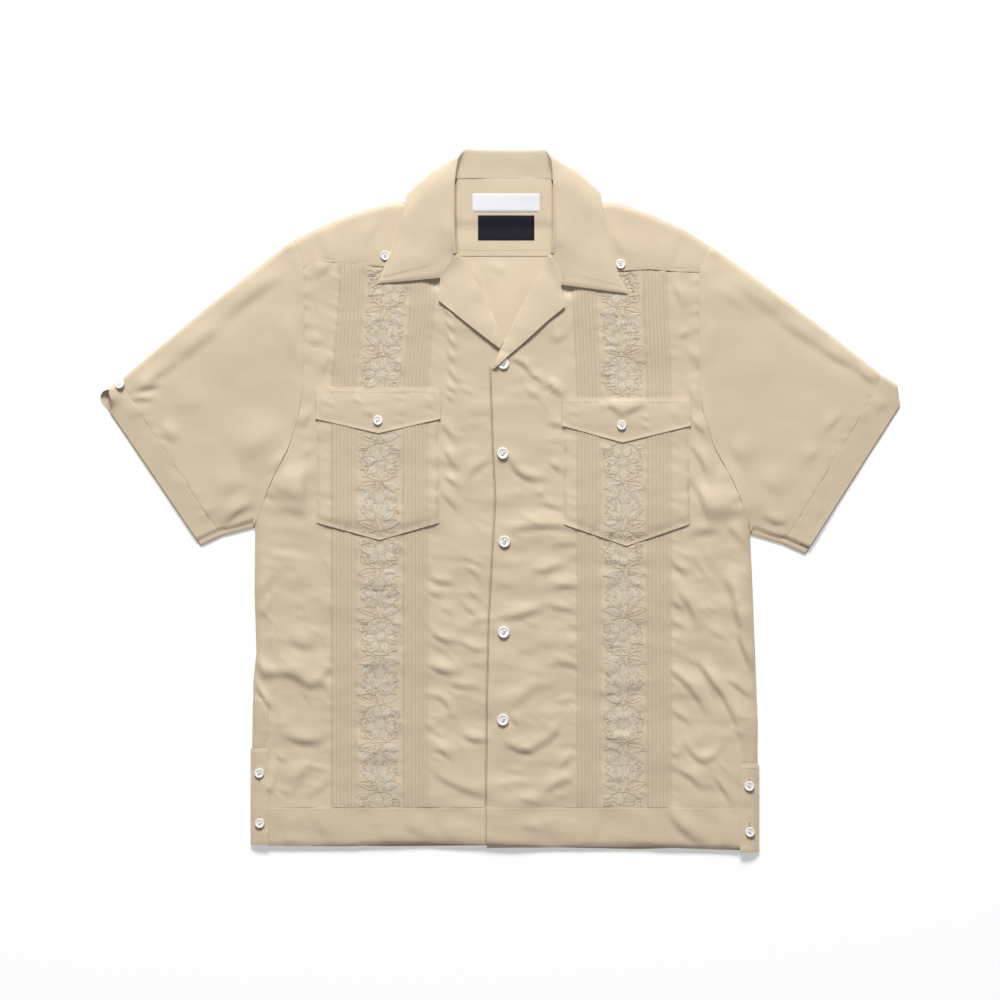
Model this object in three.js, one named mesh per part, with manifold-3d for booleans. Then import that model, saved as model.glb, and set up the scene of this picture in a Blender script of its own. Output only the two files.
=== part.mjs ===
// Short-sleeved camp-collar shirt with tucked fronts, lying flat on its back.
// Millimetres. +Z is up from the surface it lies on, +Y points to the collar and +X to the wearer's left.
// The origin is the middle of the footprint, on that surface.
import * as THREE from "three";
import { mergeVertices } from "three/addons/utils/BufferGeometryUtils.js";
import Module from "manifold-3d";

const wasm = await Module();
wasm.setup();

// ---- Driving dimensions ----
const CLOTH = 1.2; // wall of one layer of cloth
const SEAM = 0.3; // clear gap between two pieces that are sewn or lie together
const LAYER = CLOTH + SEAM; // what one more layer adds to the height
const BODY_RISE = 6.2; // outer face of the fronts above the surface
const EDGE_ROUND = 16; // width over which a front rolls down to the side edge
const HEM_SEAM_Y = -331;
const BACK_YOKE_Y = 264;
const NECK_BACK_Y = 347;

const TUCKS = 6; // stitched tucks in one band
const TUCK_PITCH = 4;
const TUCK_CREST = 0.62; // where in its pitch a tuck stands highest
const TUCK_RISE = 0.8;

const FRONT_BUTTON = { radius: 6.3, thickness: 2.2 };
const SMALL_BUTTON = { radius: 5.2, thickness: 1.8 };

// Each front has two bands of tucks beside an embroidered strip. lean is how far the column moves at
// the yoke.
const TUCK_COLUMNS = [
  { side: "right", bands: [-181, -104], middle: -130.5, halfSpan: 56, lean: 8.5 },
  { side: "left", bands: [83, 159.5], middle: 133.5, halfSpan: 56, lean: -4.5 },
];
const LEAN_FROM_Y = 110;
const LEAN_TO_Y = 240;
const LEAN_FADE = 30;

// The largest folds of the fronts. A positive rise is a ridge and a negative one a trough.
const FOLDS = [
  { x: -222, y: -206, angle: -12, length: 84, width: 38, rise: -2.4 },
  { x: -216, y: -166, angle: -8, length: 84, width: 38, rise: 1.5 },
  { x: -212, y: -264, angle: 4, length: 70, width: 36, rise: -2.2 },
  { x: -244, y: 10, angle: 56, length: 116, width: 38, rise: -2.2 },
  { x: -222, y: 44, angle: 60, length: 120, width: 40, rise: 1.6 },
  { x: -44, y: -112, angle: -20, length: 70, width: 38, rise: -1.5 },
  { x: -44, y: -276, angle: -28, length: 70, width: 38, rise: -1.8 },
  { x: 38, y: -256, angle: 14, length: 84, width: 40, rise: -2.2 },
  { x: 42, y: -118, angle: 16, length: 76, width: 38, rise: -1.6 },
  { x: 42, y: 16, angle: -22, length: 84, width: 40, rise: -1.5 },
  { x: 40, y: 104, angle: -36, length: 92, width: 40, rise: -1.6 },
  { x: 252, y: -120, angle: 92, length: 112, width: 36, rise: -2.2 },
  { x: 246, y: -212, angle: -60, length: 98, width: 36, rise: -2.4 },
  { x: 218, y: -262, angle: 24, length: 70, width: 36, rise: -1.8 },
  { x: 240, y: 0, angle: -58, length: 114, width: 38, rise: -2.0 },
  { x: 212, y: 32, angle: -60, length: 100, width: 38, rise: 1.5 },
];

// ---- Small helpers ----
const { smoothstep, lerp, degToRad } = THREE.MathUtils;
const shifted = (points, dx, dy) => points.map(([x, y]) => [x + dx, y + dy]);
const reversed = (points) => [...points].reverse();
const vector = ([x, y, z]) => new THREE.Vector3(x, y, z);

// The place on an open polyline at a share t of its length.
function along(points, t) {
  const path = new THREE.CurvePath();
  for (let i = 1; i < points.length; i++) {
    path.add(new THREE.LineCurve(new THREE.Vector2(...points[i - 1]), new THREE.Vector2(...points[i])));
  }
  return path.getPoint(t);
}

// Points across a sleeve from the underarm fold to the shoulder fold, closer together at both.
const ACROSS = Array.from({ length: 13 }, (_, i) => (1 - Math.cos((Math.PI * i) / 12)) / 2);
const closerAtEnds = (points) => ACROSS.map((share) => along(points, share).toArray());

function solidFrom(geometry) {
  const bare = geometry.index ? geometry.toNonIndexed() : geometry.clone();
  bare.deleteAttribute("normal");
  bare.deleteAttribute("uv");
  const merged = mergeVertices(bare, 1e-4);
  return new wasm.Manifold(
    new wasm.Mesh({
      numProp: 3,
      vertProperties: merged.attributes.position.array,
      triVerts: new Uint32Array(merged.index.array),
    }),
  );
}

function geometryFrom(solid) {
  const { vertProperties, triVerts } = solid.getMesh();
  const geometry = new THREE.BufferGeometry();
  geometry.setAttribute("position", new THREE.BufferAttribute(vertProperties, 3));
  geometry.setIndex(new THREE.BufferAttribute(triVerts, 1));
  return geometry;
}

// An upright prism on an outline, tall enough to cut any piece.
function prism(outline) {
  const shape = new THREE.Shape(outline.map(([x, y]) => new THREE.Vector2(x, y)));
  const geometry = new THREE.ExtrudeGeometry(shape, { depth: 60, bevelEnabled: false });
  return solidFrom(geometry.translate(0, 0, -10));
}

// A closed wall between two grids of points, outer[i][j] and inner[i][j]. A ring closes on itself
// along j.
// has says which cells of the grid are cloth.
function wall(outer, inner, { ring = false, has = () => true } = {}) {
  const rows = outer.length;
  const columns = outer[0].length;
  const cellColumns = ring ? columns : columns - 1;
  const positions = [...outer.flat(), ...inner.flat()].flatMap((p) => [p.x, p.y, p.z]);
  const at = (layer, [i, j]) => layer * rows * columns + i * columns + (j % columns);
  const index = [];
  const quad = (a, b, c, d) => index.push(a, b, c, a, c, d);
  const present = (i, j) => i >= 0 && i < rows - 1 && (ring || (j >= 0 && j < cellColumns)) && has(i, j);
  for (let i = 0; i < rows - 1; i++) {
    for (let j = 0; j < cellColumns; j++) {
      if (!present(i, j)) continue;
      const corners = [[i, j], [i, j + 1], [i + 1, j + 1], [i + 1, j]];
      const beyond = [[i - 1, j], [i, j + 1], [i + 1, j], [i, j - 1]];
      const [a, b, c, d] = corners;
      quad(at(0, a), at(0, b), at(0, c), at(0, d));
      quad(at(1, a), at(1, d), at(1, c), at(1, b));
      beyond.forEach(([k, l], side) => {
        if (present(k, l)) return;
        const [from, to] = [corners[side], corners[(side + 1) % 4]];
        quad(at(0, to), at(0, from), at(1, from), at(1, to));
      });
    }
  }
  const geometry = new THREE.BufferGeometry();
  geometry.setAttribute("position", new THREE.Float32BufferAttribute(positions, 3));
  geometry.setIndex(index);
  const solid = solidFrom(geometry);
  if (solid.volume() > 0) return geometry;
  for (let i = 0; i < index.length; i += 3) {
    [index[i + 1], index[i + 2]] = [index[i + 2], index[i + 1]];
  }
  geometry.setIndex(index);
  return geometry;
}

// ---- Outlines seen from above, each in order round the piece ----
const RIGHT_ARMHOLE = closerAtEnds([
  [-264.8, -26], [-256, -2], [-246.8, 22], [-228.4, 57.8], [-220.9, 82.6],
  [-216.5, 99.9], [-213.3, 124.7], [-212.2, 175], [-212, 251], [-225, 280],
]);
const LEFT_ARMHOLE = closerAtEnds([
  [269.2, -31], [262, -6], [251.1, 21], [230.6, 57.8], [223, 82.6],
  [217.6, 99.9], [214.4, 124.7], [214.2, 180], [214.4, 246], [226, 275],
]);
const RIGHT_SIDE = [[-265.2, -102], [-263.5, -162], [-266.4, -196], [-266.6, -267], [-268.4, HEM_SEAM_Y]];
const LEFT_SIDE = [[272.4, -102], [275.2, -180], [277, -241], [277, -270], [276.6, HEM_SEAM_Y]];
const RIGHT_ROLL = [[-47, 266], [-38.3, 261], [4.5, 172.6]]; // fold of the wearer's right lapel
const LEFT_ROLL = [[53, 266], [47, 256], [20, 206.8], [-9.7, 140.9]];
const FRONT_EDGE = [[-7, 54.5], [-4.4, 0.5], [-11.4, -129], [-13.2, -215], [-14.4, HEM_SEAM_Y]];
const UNDER_EDGE_X = 14; // hidden edge of the wearer's right front

// Stations of the yoke from the armhole to the neck: its front seam, shoulder fold and back seam, height
// of its upper layer, and how far its lower layer is lifted by the collar leaf under it.
const LEAF_LIFT = 1.9;
const YOKE_STATIONS = {
  right: [
    { front: [-211.7, 251.3], shoulder: [-224.5, 280], back: [-212.4, BACK_YOKE_Y], top: 5.6, lift: 0 },
    { front: [-190, 257.3], shoulder: [-194.9, 295.4], back: [-190, BACK_YOKE_Y], top: 6.0, lift: 0 },
    { front: [-160, 255.6], shoulder: [-162.5, 308.3], back: [-160, BACK_YOKE_Y], top: 6.4, lift: 0 },
    { front: [-120, 251.3], shoulder: [-121, 321], back: [-120, BACK_YOKE_Y], top: 6.4, lift: 0 },
    { front: [-104, 250.9], shoulder: [-106, 322.5], back: [-105, BACK_YOKE_Y], top: 6.4, lift: 0 },
    { front: [-96, 250.7], shoulder: [-94, 320], back: [-92, BACK_YOKE_Y], top: 6.4, lift: LEAF_LIFT },
    { front: [-60, 250.3], shoulder: [-50, 336], back: [-46, BACK_YOKE_Y], top: 6.6, lift: LEAF_LIFT },
  ],
  left: [
    { front: [214.1, 246.3], shoulder: [225.6, 274.7], back: [212.4, BACK_YOKE_Y], top: 5.6, lift: 0 },
    { front: [195, 246.6], shoulder: [198, 292.5], back: [194, BACK_YOKE_Y], top: 6.0, lift: 0 },
    { front: [160, 249.2], shoulder: [163, 309], back: [160, BACK_YOKE_Y], top: 6.4, lift: 0 },
    { front: [128, 247.4], shoulder: [126, 322], back: [126, BACK_YOKE_Y], top: 6.4, lift: 0 },
    { front: [112, 247.8], shoulder: [114, 323], back: [113, BACK_YOKE_Y], top: 6.4, lift: 0 },
    { front: [104, 248], shoulder: [102, 320], back: [100, BACK_YOKE_Y], top: 6.4, lift: LEAF_LIFT },
    { front: [68, 249.3], shoulder: [57, 336], back: [52, BACK_YOKE_Y], top: 6.6, lift: LEAF_LIFT },
  ],
};
const yokeSeam = (side) => YOKE_STATIONS[side].map(({ front }) => front);

// ---- The lattice that every flat-lying piece of the body shares ----
// s runs across the cut cloth and y down it. The tuck columns lean a little, so x is s moved sideways.
function placeX(s, y) {
  let x = s;
  for (const { middle, halfSpan, lean } of TUCK_COLUMNS) {
    const reach = 1 - smoothstep(Math.abs(s - middle), halfSpan, halfSpan + LEAN_FADE);
    x += lean * reach * smoothstep(y, LEAN_FROM_Y, LEAN_TO_Y);
  }
  return x;
}

const TUCK_STARTS = TUCK_COLUMNS.flatMap(({ bands }) => bands);
const BETWEEN_TUCKS = [
  -284, -268, -262, -252, -236, -210, -190, -146, -130, -114, -66, -52, -34, -15, 14, 34, 54, 70,
  118, 134, 150, 194, 212, 236, 256, 266, 276, 284,
];
const tuckLines = (start) =>
  Array.from({ length: TUCKS }, (_, i) => [i, i + TUCK_CREST].map((k) => start + k * TUCK_PITCH)).flat();
const bandEdges = TUCK_STARTS.flatMap((start) => [start, start + TUCKS * TUCK_PITCH]);
const ascending = (values) => [...new Set(values)].sort((a, b) => a - b);
const PLAIN_COLUMNS = ascending([...BETWEEN_TUCKS, ...bandEdges]);
const COLUMNS = ascending([...PLAIN_COLUMNS, ...TUCK_STARTS.flatMap(tuckLines)]);
const ROW_STEP = 28;
const ROWS = Array.from({ length: 25 }, (_, i) => -388 + i * ROW_STEP);

// 1 on the crest of a tuck and 0 between tucks.
function tuckShape(s) {
  for (const start of TUCK_STARTS) {
    const pitches = (s - start) / TUCK_PITCH;
    if (pitches <= 0 || pitches >= TUCKS) continue;
    const share = pitches % 1;
    return share < TUCK_CREST ? share / TUCK_CREST : (1 - share) / (1 - TUCK_CREST);
  }
  return 0;
}

function foldRise(x, y) {
  let rise = 0;
  for (const fold of FOLDS) {
    const turn = degToRad(fold.angle);
    const dx = x - fold.x;
    const dy = y - fold.y;
    const lengthwise = (dx * Math.cos(turn) + dy * Math.sin(turn)) / (fold.length / 2);
    const across = (dy * Math.cos(turn) - dx * Math.sin(turn)) / (fold.width / 2);
    rise += fold.rise * Math.exp(-(lengthwise ** 2) - across ** 2);
  }
  return rise;
}

// The x of the side edge at a height y, on the side that sign gives.
function sideX(sign, y) {
  const edge = sign < 0 ? RIGHT_SIDE : LEFT_SIDE;
  const points = [sign < 0 ? RIGHT_ARMHOLE[0] : LEFT_ARMHOLE[0], ...edge];
  for (let i = 1; i < points.length; i++) {
    const [[x0, y0], [x1, y1]] = [points[i - 1], points[i]];
    if (y >= y1) return lerp(x0, x1, (y0 - y) / (y0 - y1));
  }
  return points.at(-1)[0];
}

// Outer face of the fronts, tucks left out. Below the armholes it rolls down to the back at the sides.
function frontPlain(s, y) {
  const x = placeX(s, y);
  const lowest = CLOTH + LAYER;
  const fromSide = Math.sign(x) * (sideX(Math.sign(x), Math.min(y, -40)) - x);
  const t = Math.min(Math.max(fromSide / EDGE_ROUND, 0), 1);
  const round = Math.sqrt(1 - (1 - t) ** 2);
  const belowArm = 1 - smoothstep(y, -40, 10);
  const rolled = lerp(1, round, belowArm);
  const open = lowest + 0.4;
  const laid = lowest + (BODY_RISE - lowest + foldRise(x, y)) * rolled;
  return Math.max(laid, lerp(open, lowest, belowArm));
}

// The wearer's left front lies one layer higher where it laps the right one.
const OVERLAP_FADE_TO = 70;
const overlapRise = (s) => LAYER * (1 - smoothstep(s, UNDER_EDGE_X, OVERLAP_FADE_TO));

const rightFrontTop = (s, y) => frontPlain(s, y) + TUCK_RISE * tuckShape(s);
const leftFrontTop = (s, y) => rightFrontTop(s, y) + overlapRise(s);
const frontTop = (s, y) => (s < -20 ? rightFrontTop(s, y) : leftFrontTop(s, y));
const frontCrest = (s, y) => frontPlain(s, y) + TUCK_RISE + (s < -20 ? 0 : overlapRise(s));

// Cloth that follows the lattice: top is its outer face, cut to an outline seen from above.
function panel(outline, top, lattice = COLUMNS) {
  const [xs, ys] = [outline.map((p) => p[0]), outline.map((p) => p[1])];
  const columns = lattice.filter((s) => s > Math.min(...xs) - 40 && s < Math.max(...xs) + 40);
  const rows = ROWS.filter((y) => y > Math.min(...ys) - ROW_STEP - 1 && y < Math.max(...ys) + ROW_STEP + 1);
  const sheet = (height) =>
    rows.map((y) => columns.map((s) => new THREE.Vector3(placeX(s, y), y, height(s, y))));
  const slab = solidFrom(wall(sheet(top), sheet((s, y) => top(s, y) - CLOTH)));
  return geometryFrom(slab.intersect(prism(outline)));
}

// The highest point of a face under a disc, for what stands on it.
function highestUnder(height, x, y, radius) {
  let highest = -Infinity;
  for (const s of [...COLUMNS, x]) {
    for (const row of [...ROWS, y]) {
      const near = Math.hypot(placeX(s, row) - x, row - y) < radius + ROW_STEP / 2;
      if (near && Math.abs(s - x) < radius + TUCK_PITCH) highest = Math.max(highest, height(s, row));
    }
  }
  return highest;
}

// ---- Materials ----
const CLOTH_COLOUR = 0xd9c7a2;
const clothMaterial = () =>
  new THREE.MeshStandardMaterial({
    color: CLOTH_COLOUR,
    roughness: 0.62,
    metalness: 0,
    side: THREE.DoubleSide,
  });
const buttonMaterial = () =>
  new THREE.MeshStandardMaterial({ color: 0xf1efea, roughness: 0.25, metalness: 0 });
const wovenLabel = (color) => new THREE.MeshStandardMaterial({ color, roughness: 0.7, metalness: 0 });

const shirt = new THREE.Group();
function add(name, geometry, material = clothMaterial()) {
  const mesh = new THREE.Mesh(geometry, material);
  mesh.name = name;
  shirt.add(mesh);
  return mesh;
}

// ---- Back: one flat panel under everything, cut off at the yoke seam ----
const rightArmInside = shifted(RIGHT_ARMHOLE, SEAM, 0);
const leftArmInside = shifted(LEFT_ARMHOLE, -SEAM, 0);
const belowYoke = (points) => points.filter(([, y]) => y < 240);
const BACK_HEM = [
  [-266, -372], [-120, -374], [-16, -373], [80, -375.5], [150, -377], [210, -375], [272, -374],
];
const backOutline = [
  ...reversed(RIGHT_SIDE),
  ...belowYoke(rightArmInside),
  [-213, BACK_YOKE_Y - SEAM],
  [213, BACK_YOKE_Y - SEAM],
  ...reversed(belowYoke(leftArmInside)),
  ...LEFT_SIDE,
  ...reversed(BACK_HEM),
];
function flatSheet(outline, thick) {
  const shape = new THREE.Shape(outline.map(([x, y]) => new THREE.Vector2(x, y)));
  return new THREE.ExtrudeGeometry(shape, { depth: thick, bevelEnabled: false });
}
add("back", flatSheet(backOutline, CLOTH));

// ---- Fronts ----
add(
  "right_front",
  panel(
    [
      ...shifted(yokeSeam("right"), SEAM, -SEAM),
      ...RIGHT_ROLL,
      [UNDER_EDGE_X, 165],
      [UNDER_EDGE_X, HEM_SEAM_Y + SEAM],
      ...reversed(RIGHT_SIDE).map(([x, y]) => [x, Math.max(y, HEM_SEAM_Y + SEAM)]),
      ...belowYoke(rightArmInside),
    ],
    rightFrontTop,
  ),
);
add(
  "left_front",
  panel(
    [
      ...reversed(FRONT_EDGE).map(([x, y]) => [x, Math.max(y, HEM_SEAM_Y + SEAM)]),
      ...reversed(LEFT_ROLL),
      ...reversed(shifted(yokeSeam("left"), -SEAM, -SEAM)),
      ...reversed(belowYoke(leftArmInside)),
      ...LEFT_SIDE.map(([x, y]) => [x, Math.max(y, HEM_SEAM_Y + SEAM)]),
    ],
    leftFrontTop,
  ),
);

// ---- Hem bands ----
const VENT_X = { right: -250.5, left: 258.5 }; // inner edges of the side vents
add(
  "right_hem_band",
  panel(
    [
      [VENT_X.right, HEM_SEAM_Y], [UNDER_EDGE_X, HEM_SEAM_Y], [UNDER_EDGE_X, -371.5],
      [-80, -370], [-164, -373.5], [VENT_X.right, -372.5],
    ],
    frontPlain,
    PLAIN_COLUMNS,
  ),
);
add(
  "left_hem_band",
  panel(
    [
      [-14.4, HEM_SEAM_Y], [-14.6, -375], [107, -374], [160, -374],
      [VENT_X.left, -377.5], [VENT_X.left, HEM_SEAM_Y],
    ],
    (s, y) => frontPlain(s, y) + overlapRise(s),
    PLAIN_COLUMNS,
  ),
);

// ---- Side vents: the front's corner below the side seam, the buttoned placket over it and the stay above ----
const VENTS = [
  {
    side: "right", inner: VENT_X.right, outer: -269.6,
    placketTop: -267.3, placketFoot: -371.5, stayTop: -214,
  },
  {
    side: "left", inner: VENT_X.left, outer: 279.2,
    placketTop: -285, placketFoot: -379.5, stayTop: -230.5,
  },
];
for (const { side, inner, outer, placketTop, placketFoot, stayTop } of VENTS) {
  const toOuter = Math.sign(outer);
  const overFront = (s, y) => frontPlain(s, y) + LAYER;
  const corner = [
    [inner + toOuter * SEAM, HEM_SEAM_Y], [outer - toOuter * 3.4, HEM_SEAM_Y],
    [outer - toOuter * 3.4, placketFoot + 3], [inner + toOuter * SEAM, placketFoot + 3],
  ];
  const placket = [[inner, placketTop], [outer, placketTop], [outer, placketFoot], [inner, placketFoot]];
  const stay = [
    [inner, stayTop], [outer - toOuter * 2.5, stayTop],
    [outer - toOuter * 1.6, placketTop + SEAM], [inner, placketTop + SEAM],
  ];
  add(`${side}_vent_corner`, panel(corner, frontPlain));
  add(`${side}_vent_placket`, panel(placket, overFront));
  add(`${side}_vent_stay`, panel(stay, overFront));
}

// ---- Breast pockets: one layer out from the front, tucks and all, with a plain pointed flap on each ----
const POCKETS = [
  {
    side: "right", left: -198, right: -67, top: 118, foot: -24, point: [-130.4, -42.5],
    flapFoot: 88, flapPoint: [-131.5, 72.5],
  },
  {
    side: "left", left: 68, right: 203, top: 107, foot: -25.5, point: [136, -49],
    flapFoot: 80.5, flapPoint: [131.5, 62.5],
  },
];
const FLAP_OVERHANG = 1.2;
const FLAP_HEAD = 4; // how far the flap's stitched head stands above the pocket
const pocketTop = (s, y) => frontTop(s, y) + LAYER;
const flapTop = (s, y) => frontCrest(s, y) + 2 * LAYER;
for (const { side, left, right, top, foot, point, flapFoot, flapPoint } of POCKETS) {
  const cut = [[left, top], [right, top], [right + 1, foot], point, [left, foot]];
  add(`${side}_pocket`, panel(cut, pocketTop));
  const flap = [
    [left - FLAP_OVERHANG, top + FLAP_HEAD],
    [right + FLAP_OVERHANG, top + FLAP_HEAD],
    [right + FLAP_OVERHANG + 1, flapFoot],
    flapPoint,
    [left - FLAP_OVERHANG, flapFoot],
  ];
  add(`${side}_flap`, panel(flap, flapTop, PLAIN_COLUMNS));
}

// ---- Yoke: folds over both shoulders, from the seam on the back to the seam on the fronts ----
const LEAF_EDGE_Y = 306; // where the collar leaf ends under the yoke
const LEAF_CLEAR = 14; // how far past it the yoke comes back down

// The upper layer's points, a share of the way from the front seam to the shoulder fold.
const YOKE_TOP_POINTS = [
  { toFold: 0.93, rise: 0.85 },
  { toFold: 0.8, rise: 0.97 },
  { toFold: 0.45, rise: 1 },
  { toFold: 0, rise: 1 },
];
const LOWER_POINTS = 4;
// The two faces of one section, from the back seam round the shoulder fold to the front seam.
function foldedSection({ front, shoulder, back, top, lift }) {
  const point = (from, share, z) =>
    new THREE.Vector3(lerp(from[0], shoulder[0], share), lerp(from[1], shoulder[1], share), z);
  const depth = shoulder[1] - back[1];
  const shareAt = (y, most) => Math.min((y - back[1]) / depth, most);
  const inset = CLOTH / depth;
  const section = (shrink) => [
    point(back, 0, shrink),
    point(back, shareAt(LEAF_EDGE_Y - LEAF_CLEAR, 0.6), shrink),
    point(back, shareAt(LEAF_EDGE_Y, 0.8), lift + shrink),
    point(back, 0.93 - (inset * shrink) / CLOTH, lift + shrink),
    point(back, 1 - (inset * shrink) / CLOTH, lerp(lift, top, 0.5)),
    ...YOKE_TOP_POINTS.map(({ toFold, rise }) =>
      point(front, toFold - (inset * toFold * shrink) / CLOTH, top * rise - shrink),
    ),
  ];
  return { outer: section(0), inner: section(CLOTH) };
}
// Behind the neck the yoke is one flat layer, up to the neck seam.
function neckSection(x) {
  const section = (z) => {
    const points = [
      [BACK_YOKE_Y, 0], [LEAF_EDGE_Y - LEAF_CLEAR, 0], [LEAF_EDGE_Y, LEAF_LIFT],
      [NECK_BACK_Y - 0.8, LEAF_LIFT],
    ].map(([y, rise]) => new THREE.Vector3(x, y, rise + z));
    return [...points, ...Array(YOKE_TOP_POINTS.length + 1).fill(points.at(-1))];
  };
  return { outer: section(0), inner: section(CLOTH) };
}
const yokeSections = [
  ...YOKE_STATIONS.right.map(foldedSection),
  neckSection(-45),
  neckSection(53),
  ...reversed(YOKE_STATIONS.left).map(foldedSection),
];
const firstAtNeck = YOKE_STATIONS.right.length - 1;
add(
  "yoke",
  wall(
    yokeSections.map(({ outer }) => outer),
    yokeSections.map(({ inner }) => inner),
    { has: (i, j) => i < firstAtNeck || i > firstAtNeck + 2 || j < LOWER_POINTS - 1 },
  ),
);

// ---- Collar: one folded strip round the neck ----
// Each station has its neck edge, the top of its roll, the middle of its leaf and the leaf's outer edge.
// At the back the leaf lies under the yoke, and in front it lies over it.
const COLLAR_SIDES = {
  right: [
    { neck: [-57.5, 263, 8.6], roll: [-47.5, 267, 12.5],
      leaf: [-64.6, 240, 12.0], edge: [-133.7, 232, 9.4] },
    { neck: [-58.5, 276, 7.8], roll: [-49, 283, 13.4], leaf: [-88, 266, 11.8], edge: [-126.5, 249, 9.8] },
    { neck: [-58, 300, 7.7], roll: [-49.5, 312, 14.4], leaf: [-85, 298, 12.4], edge: [-114, 283, 9.6] },
    { neck: [-56, 322, 7.7], roll: [-49, 344, 15], leaf: [-80, 330, 12.2], edge: [-106, 310, 8.4] },
    { neck: [-52, 344, 6.4], roll: [-46, 366, 15.6], leaf: [-75, 352, 8.6], edge: [-102, 330.5, 3.6] },
    { neck: [-49, 345.5, 4], roll: [-43, 373, 15.8], leaf: [-66, 359, 3.0], edge: [-96, 332, 0.6] },
    { neck: [-44, 348, 2.5], roll: [-37, 379, 16], leaf: [-52, 362, 0.6], edge: [-80, 308, 0.6] },
    { neck: [-22, 348, 2.5], roll: [-20, 378, 16.6], leaf: [-24, 362, 0.6], edge: [-34, 306, 0.6] },
  ],
  left: [
    { neck: [28, 348, 2.5], roll: [28, 377.6, 16.6], leaf: [32, 362, 0.6], edge: [42, 306, 0.6] },
    { neck: [50, 348, 2.5], roll: [47, 378.6, 16], leaf: [61, 362, 0.6], edge: [88, 308, 0.6] },
    { neck: [56, 345.5, 4], roll: [52, 373, 15.8], leaf: [75, 359, 3.0], edge: [104, 332, 0.6] },
    { neck: [59, 344, 6.4], roll: [55, 366, 15.6], leaf: [84, 352, 8.6], edge: [109, 331.5, 3.6] },
    { neck: [63, 322, 7.7], roll: [56.5, 344, 15], leaf: [88, 330, 12.2], edge: [111, 311, 8.4] },
    { neck: [65, 300, 7.7], roll: [57, 312, 14.4], leaf: [92, 296, 12.4], edge: [118, 281, 9.6] },
    { neck: [66, 276, 7.8], roll: [56.5, 283, 13.4], leaf: [94, 262, 11.8], edge: [127, 245, 9.8] },
    { neck: [65, 263, 8.6], roll: [54, 267, 12.5], leaf: [64.8, 232.6, 12.0], edge: [138, 223, 9.4] },
  ],
};
const COLLAR_WALL = 1.2;
function collarSection({ neck, roll, leaf, edge }) {
  const [n, r, l, e] = [neck, roll, leaf, edge].map(vector);
  const stand = n.clone().lerp(r, 0.75).add(new THREE.Vector3(0, 0, 0.6));
  const over = r.clone().lerp(l, 0.16).add(new THREE.Vector3(0, 0, l.z < 2 ? -2 : 0.2));
  return [n, n.clone().lerp(r, 0.4), stand, r, over, l, l.clone().lerp(e, 0.5), e];
}
function offsetWall(middle, thick) {
  const rows = middle.length;
  const columns = middle[0].length;
  const clamp = (value, size) => Math.min(Math.max(value, 0), size - 1);
  const normal = (i, j) => {
    const alongRows = middle[clamp(i + 1, rows)][j].clone().sub(middle[clamp(i - 1, rows)][j]);
    const acrossRows = middle[i][clamp(j + 1, columns)].clone().sub(middle[i][clamp(j - 1, columns)]);
    return alongRows.cross(acrossRows).normalize();
  };
  const moved = (sign) =>
    middle.map((row, i) => row.map((p, j) => p.clone().addScaledVector(normal(i, j), (sign * thick) / 2)));
  return wall(moved(1), moved(-1));
}
add(
  "collar",
  offsetWall([...COLLAR_SIDES.right, ...COLLAR_SIDES.left].map(collarSection), COLLAR_WALL),
);

// ---- Lapels: the front facings, turned out above the first button ----
// Each runs from the roll, where it folds back, to its free edge, which stands off the front.
const LAPEL_STATIONS = {
  right: [
    { roll: [-48, 265], free: [-66, 250] },
    { roll: [-43, 262], free: [-65, 238.6] },
    { roll: [-30, 243.5], free: [-66.7, 215.5] },
    { roll: [-14, 211], free: [-36, 191] },
    { roll: [-4, 190], free: [-16, 175.4] },
    { roll: [3.6, 173], free: [-0.3, 163.6] },
  ],
  left: [
    { roll: [54, 265], free: [68, 244] },
    { roll: [50, 261], free: [65.3, 231] },
    { roll: [40, 243], free: [69.7, 209] },
    { roll: [28, 220], free: [52, 190] },
    { roll: [12, 187.6], free: [26, 174] },
    { roll: [-2, 158], free: [6, 155.6] },
    { roll: [-8.6, 143.4], free: [-8, 142.4] },
  ],
};
const LAPEL_OFF = 3.0; // how far the free edge stands off
const LAPEL_ACROSS = [0, 0.12, 0.5, 1];
for (const side of ["right", "left"]) {
  const under = side === "right" ? rightFrontTop : leftFrontTop;
  const strip = LAPEL_STATIONS[side].map(({ roll, free }) =>
    LAPEL_ACROSS.map((share) => {
      const x = lerp(roll[0], free[0], share);
      const y = lerp(roll[1], free[1], share);
      return new THREE.Vector3(x, y, under(x, y) + LAYER - CLOTH / 2 + LAPEL_OFF * Math.sqrt(share));
    }),
  );
  add(`${side}_lapel`, offsetWall(strip, CLOTH));
}

// ---- Sleeves: flattened tubes from the armhole to the cuff, with an open hollow ----
const SLEEVE_STATIONS = 7;
const SLEEVES = [
  {
    side: "right",
    armhole: RIGHT_ARMHOLE,
    cuffSeam: [[-300, -33], [-403.7, 117.5], [-407.7, 132]],
    cuffEdge: [[-321.8, -48], [-424, 101.5], [-430.5, 113]],
    bow: 3,
  },
  {
    side: "left",
    armhole: LEFT_ARMHOLE,
    cuffSeam: [[304, -36], [408, 124], [411, 136]],
    cuffEdge: [[329.3, -53], [431.5, 103], [428, 125]],
    bow: 3,
  },
];
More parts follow.
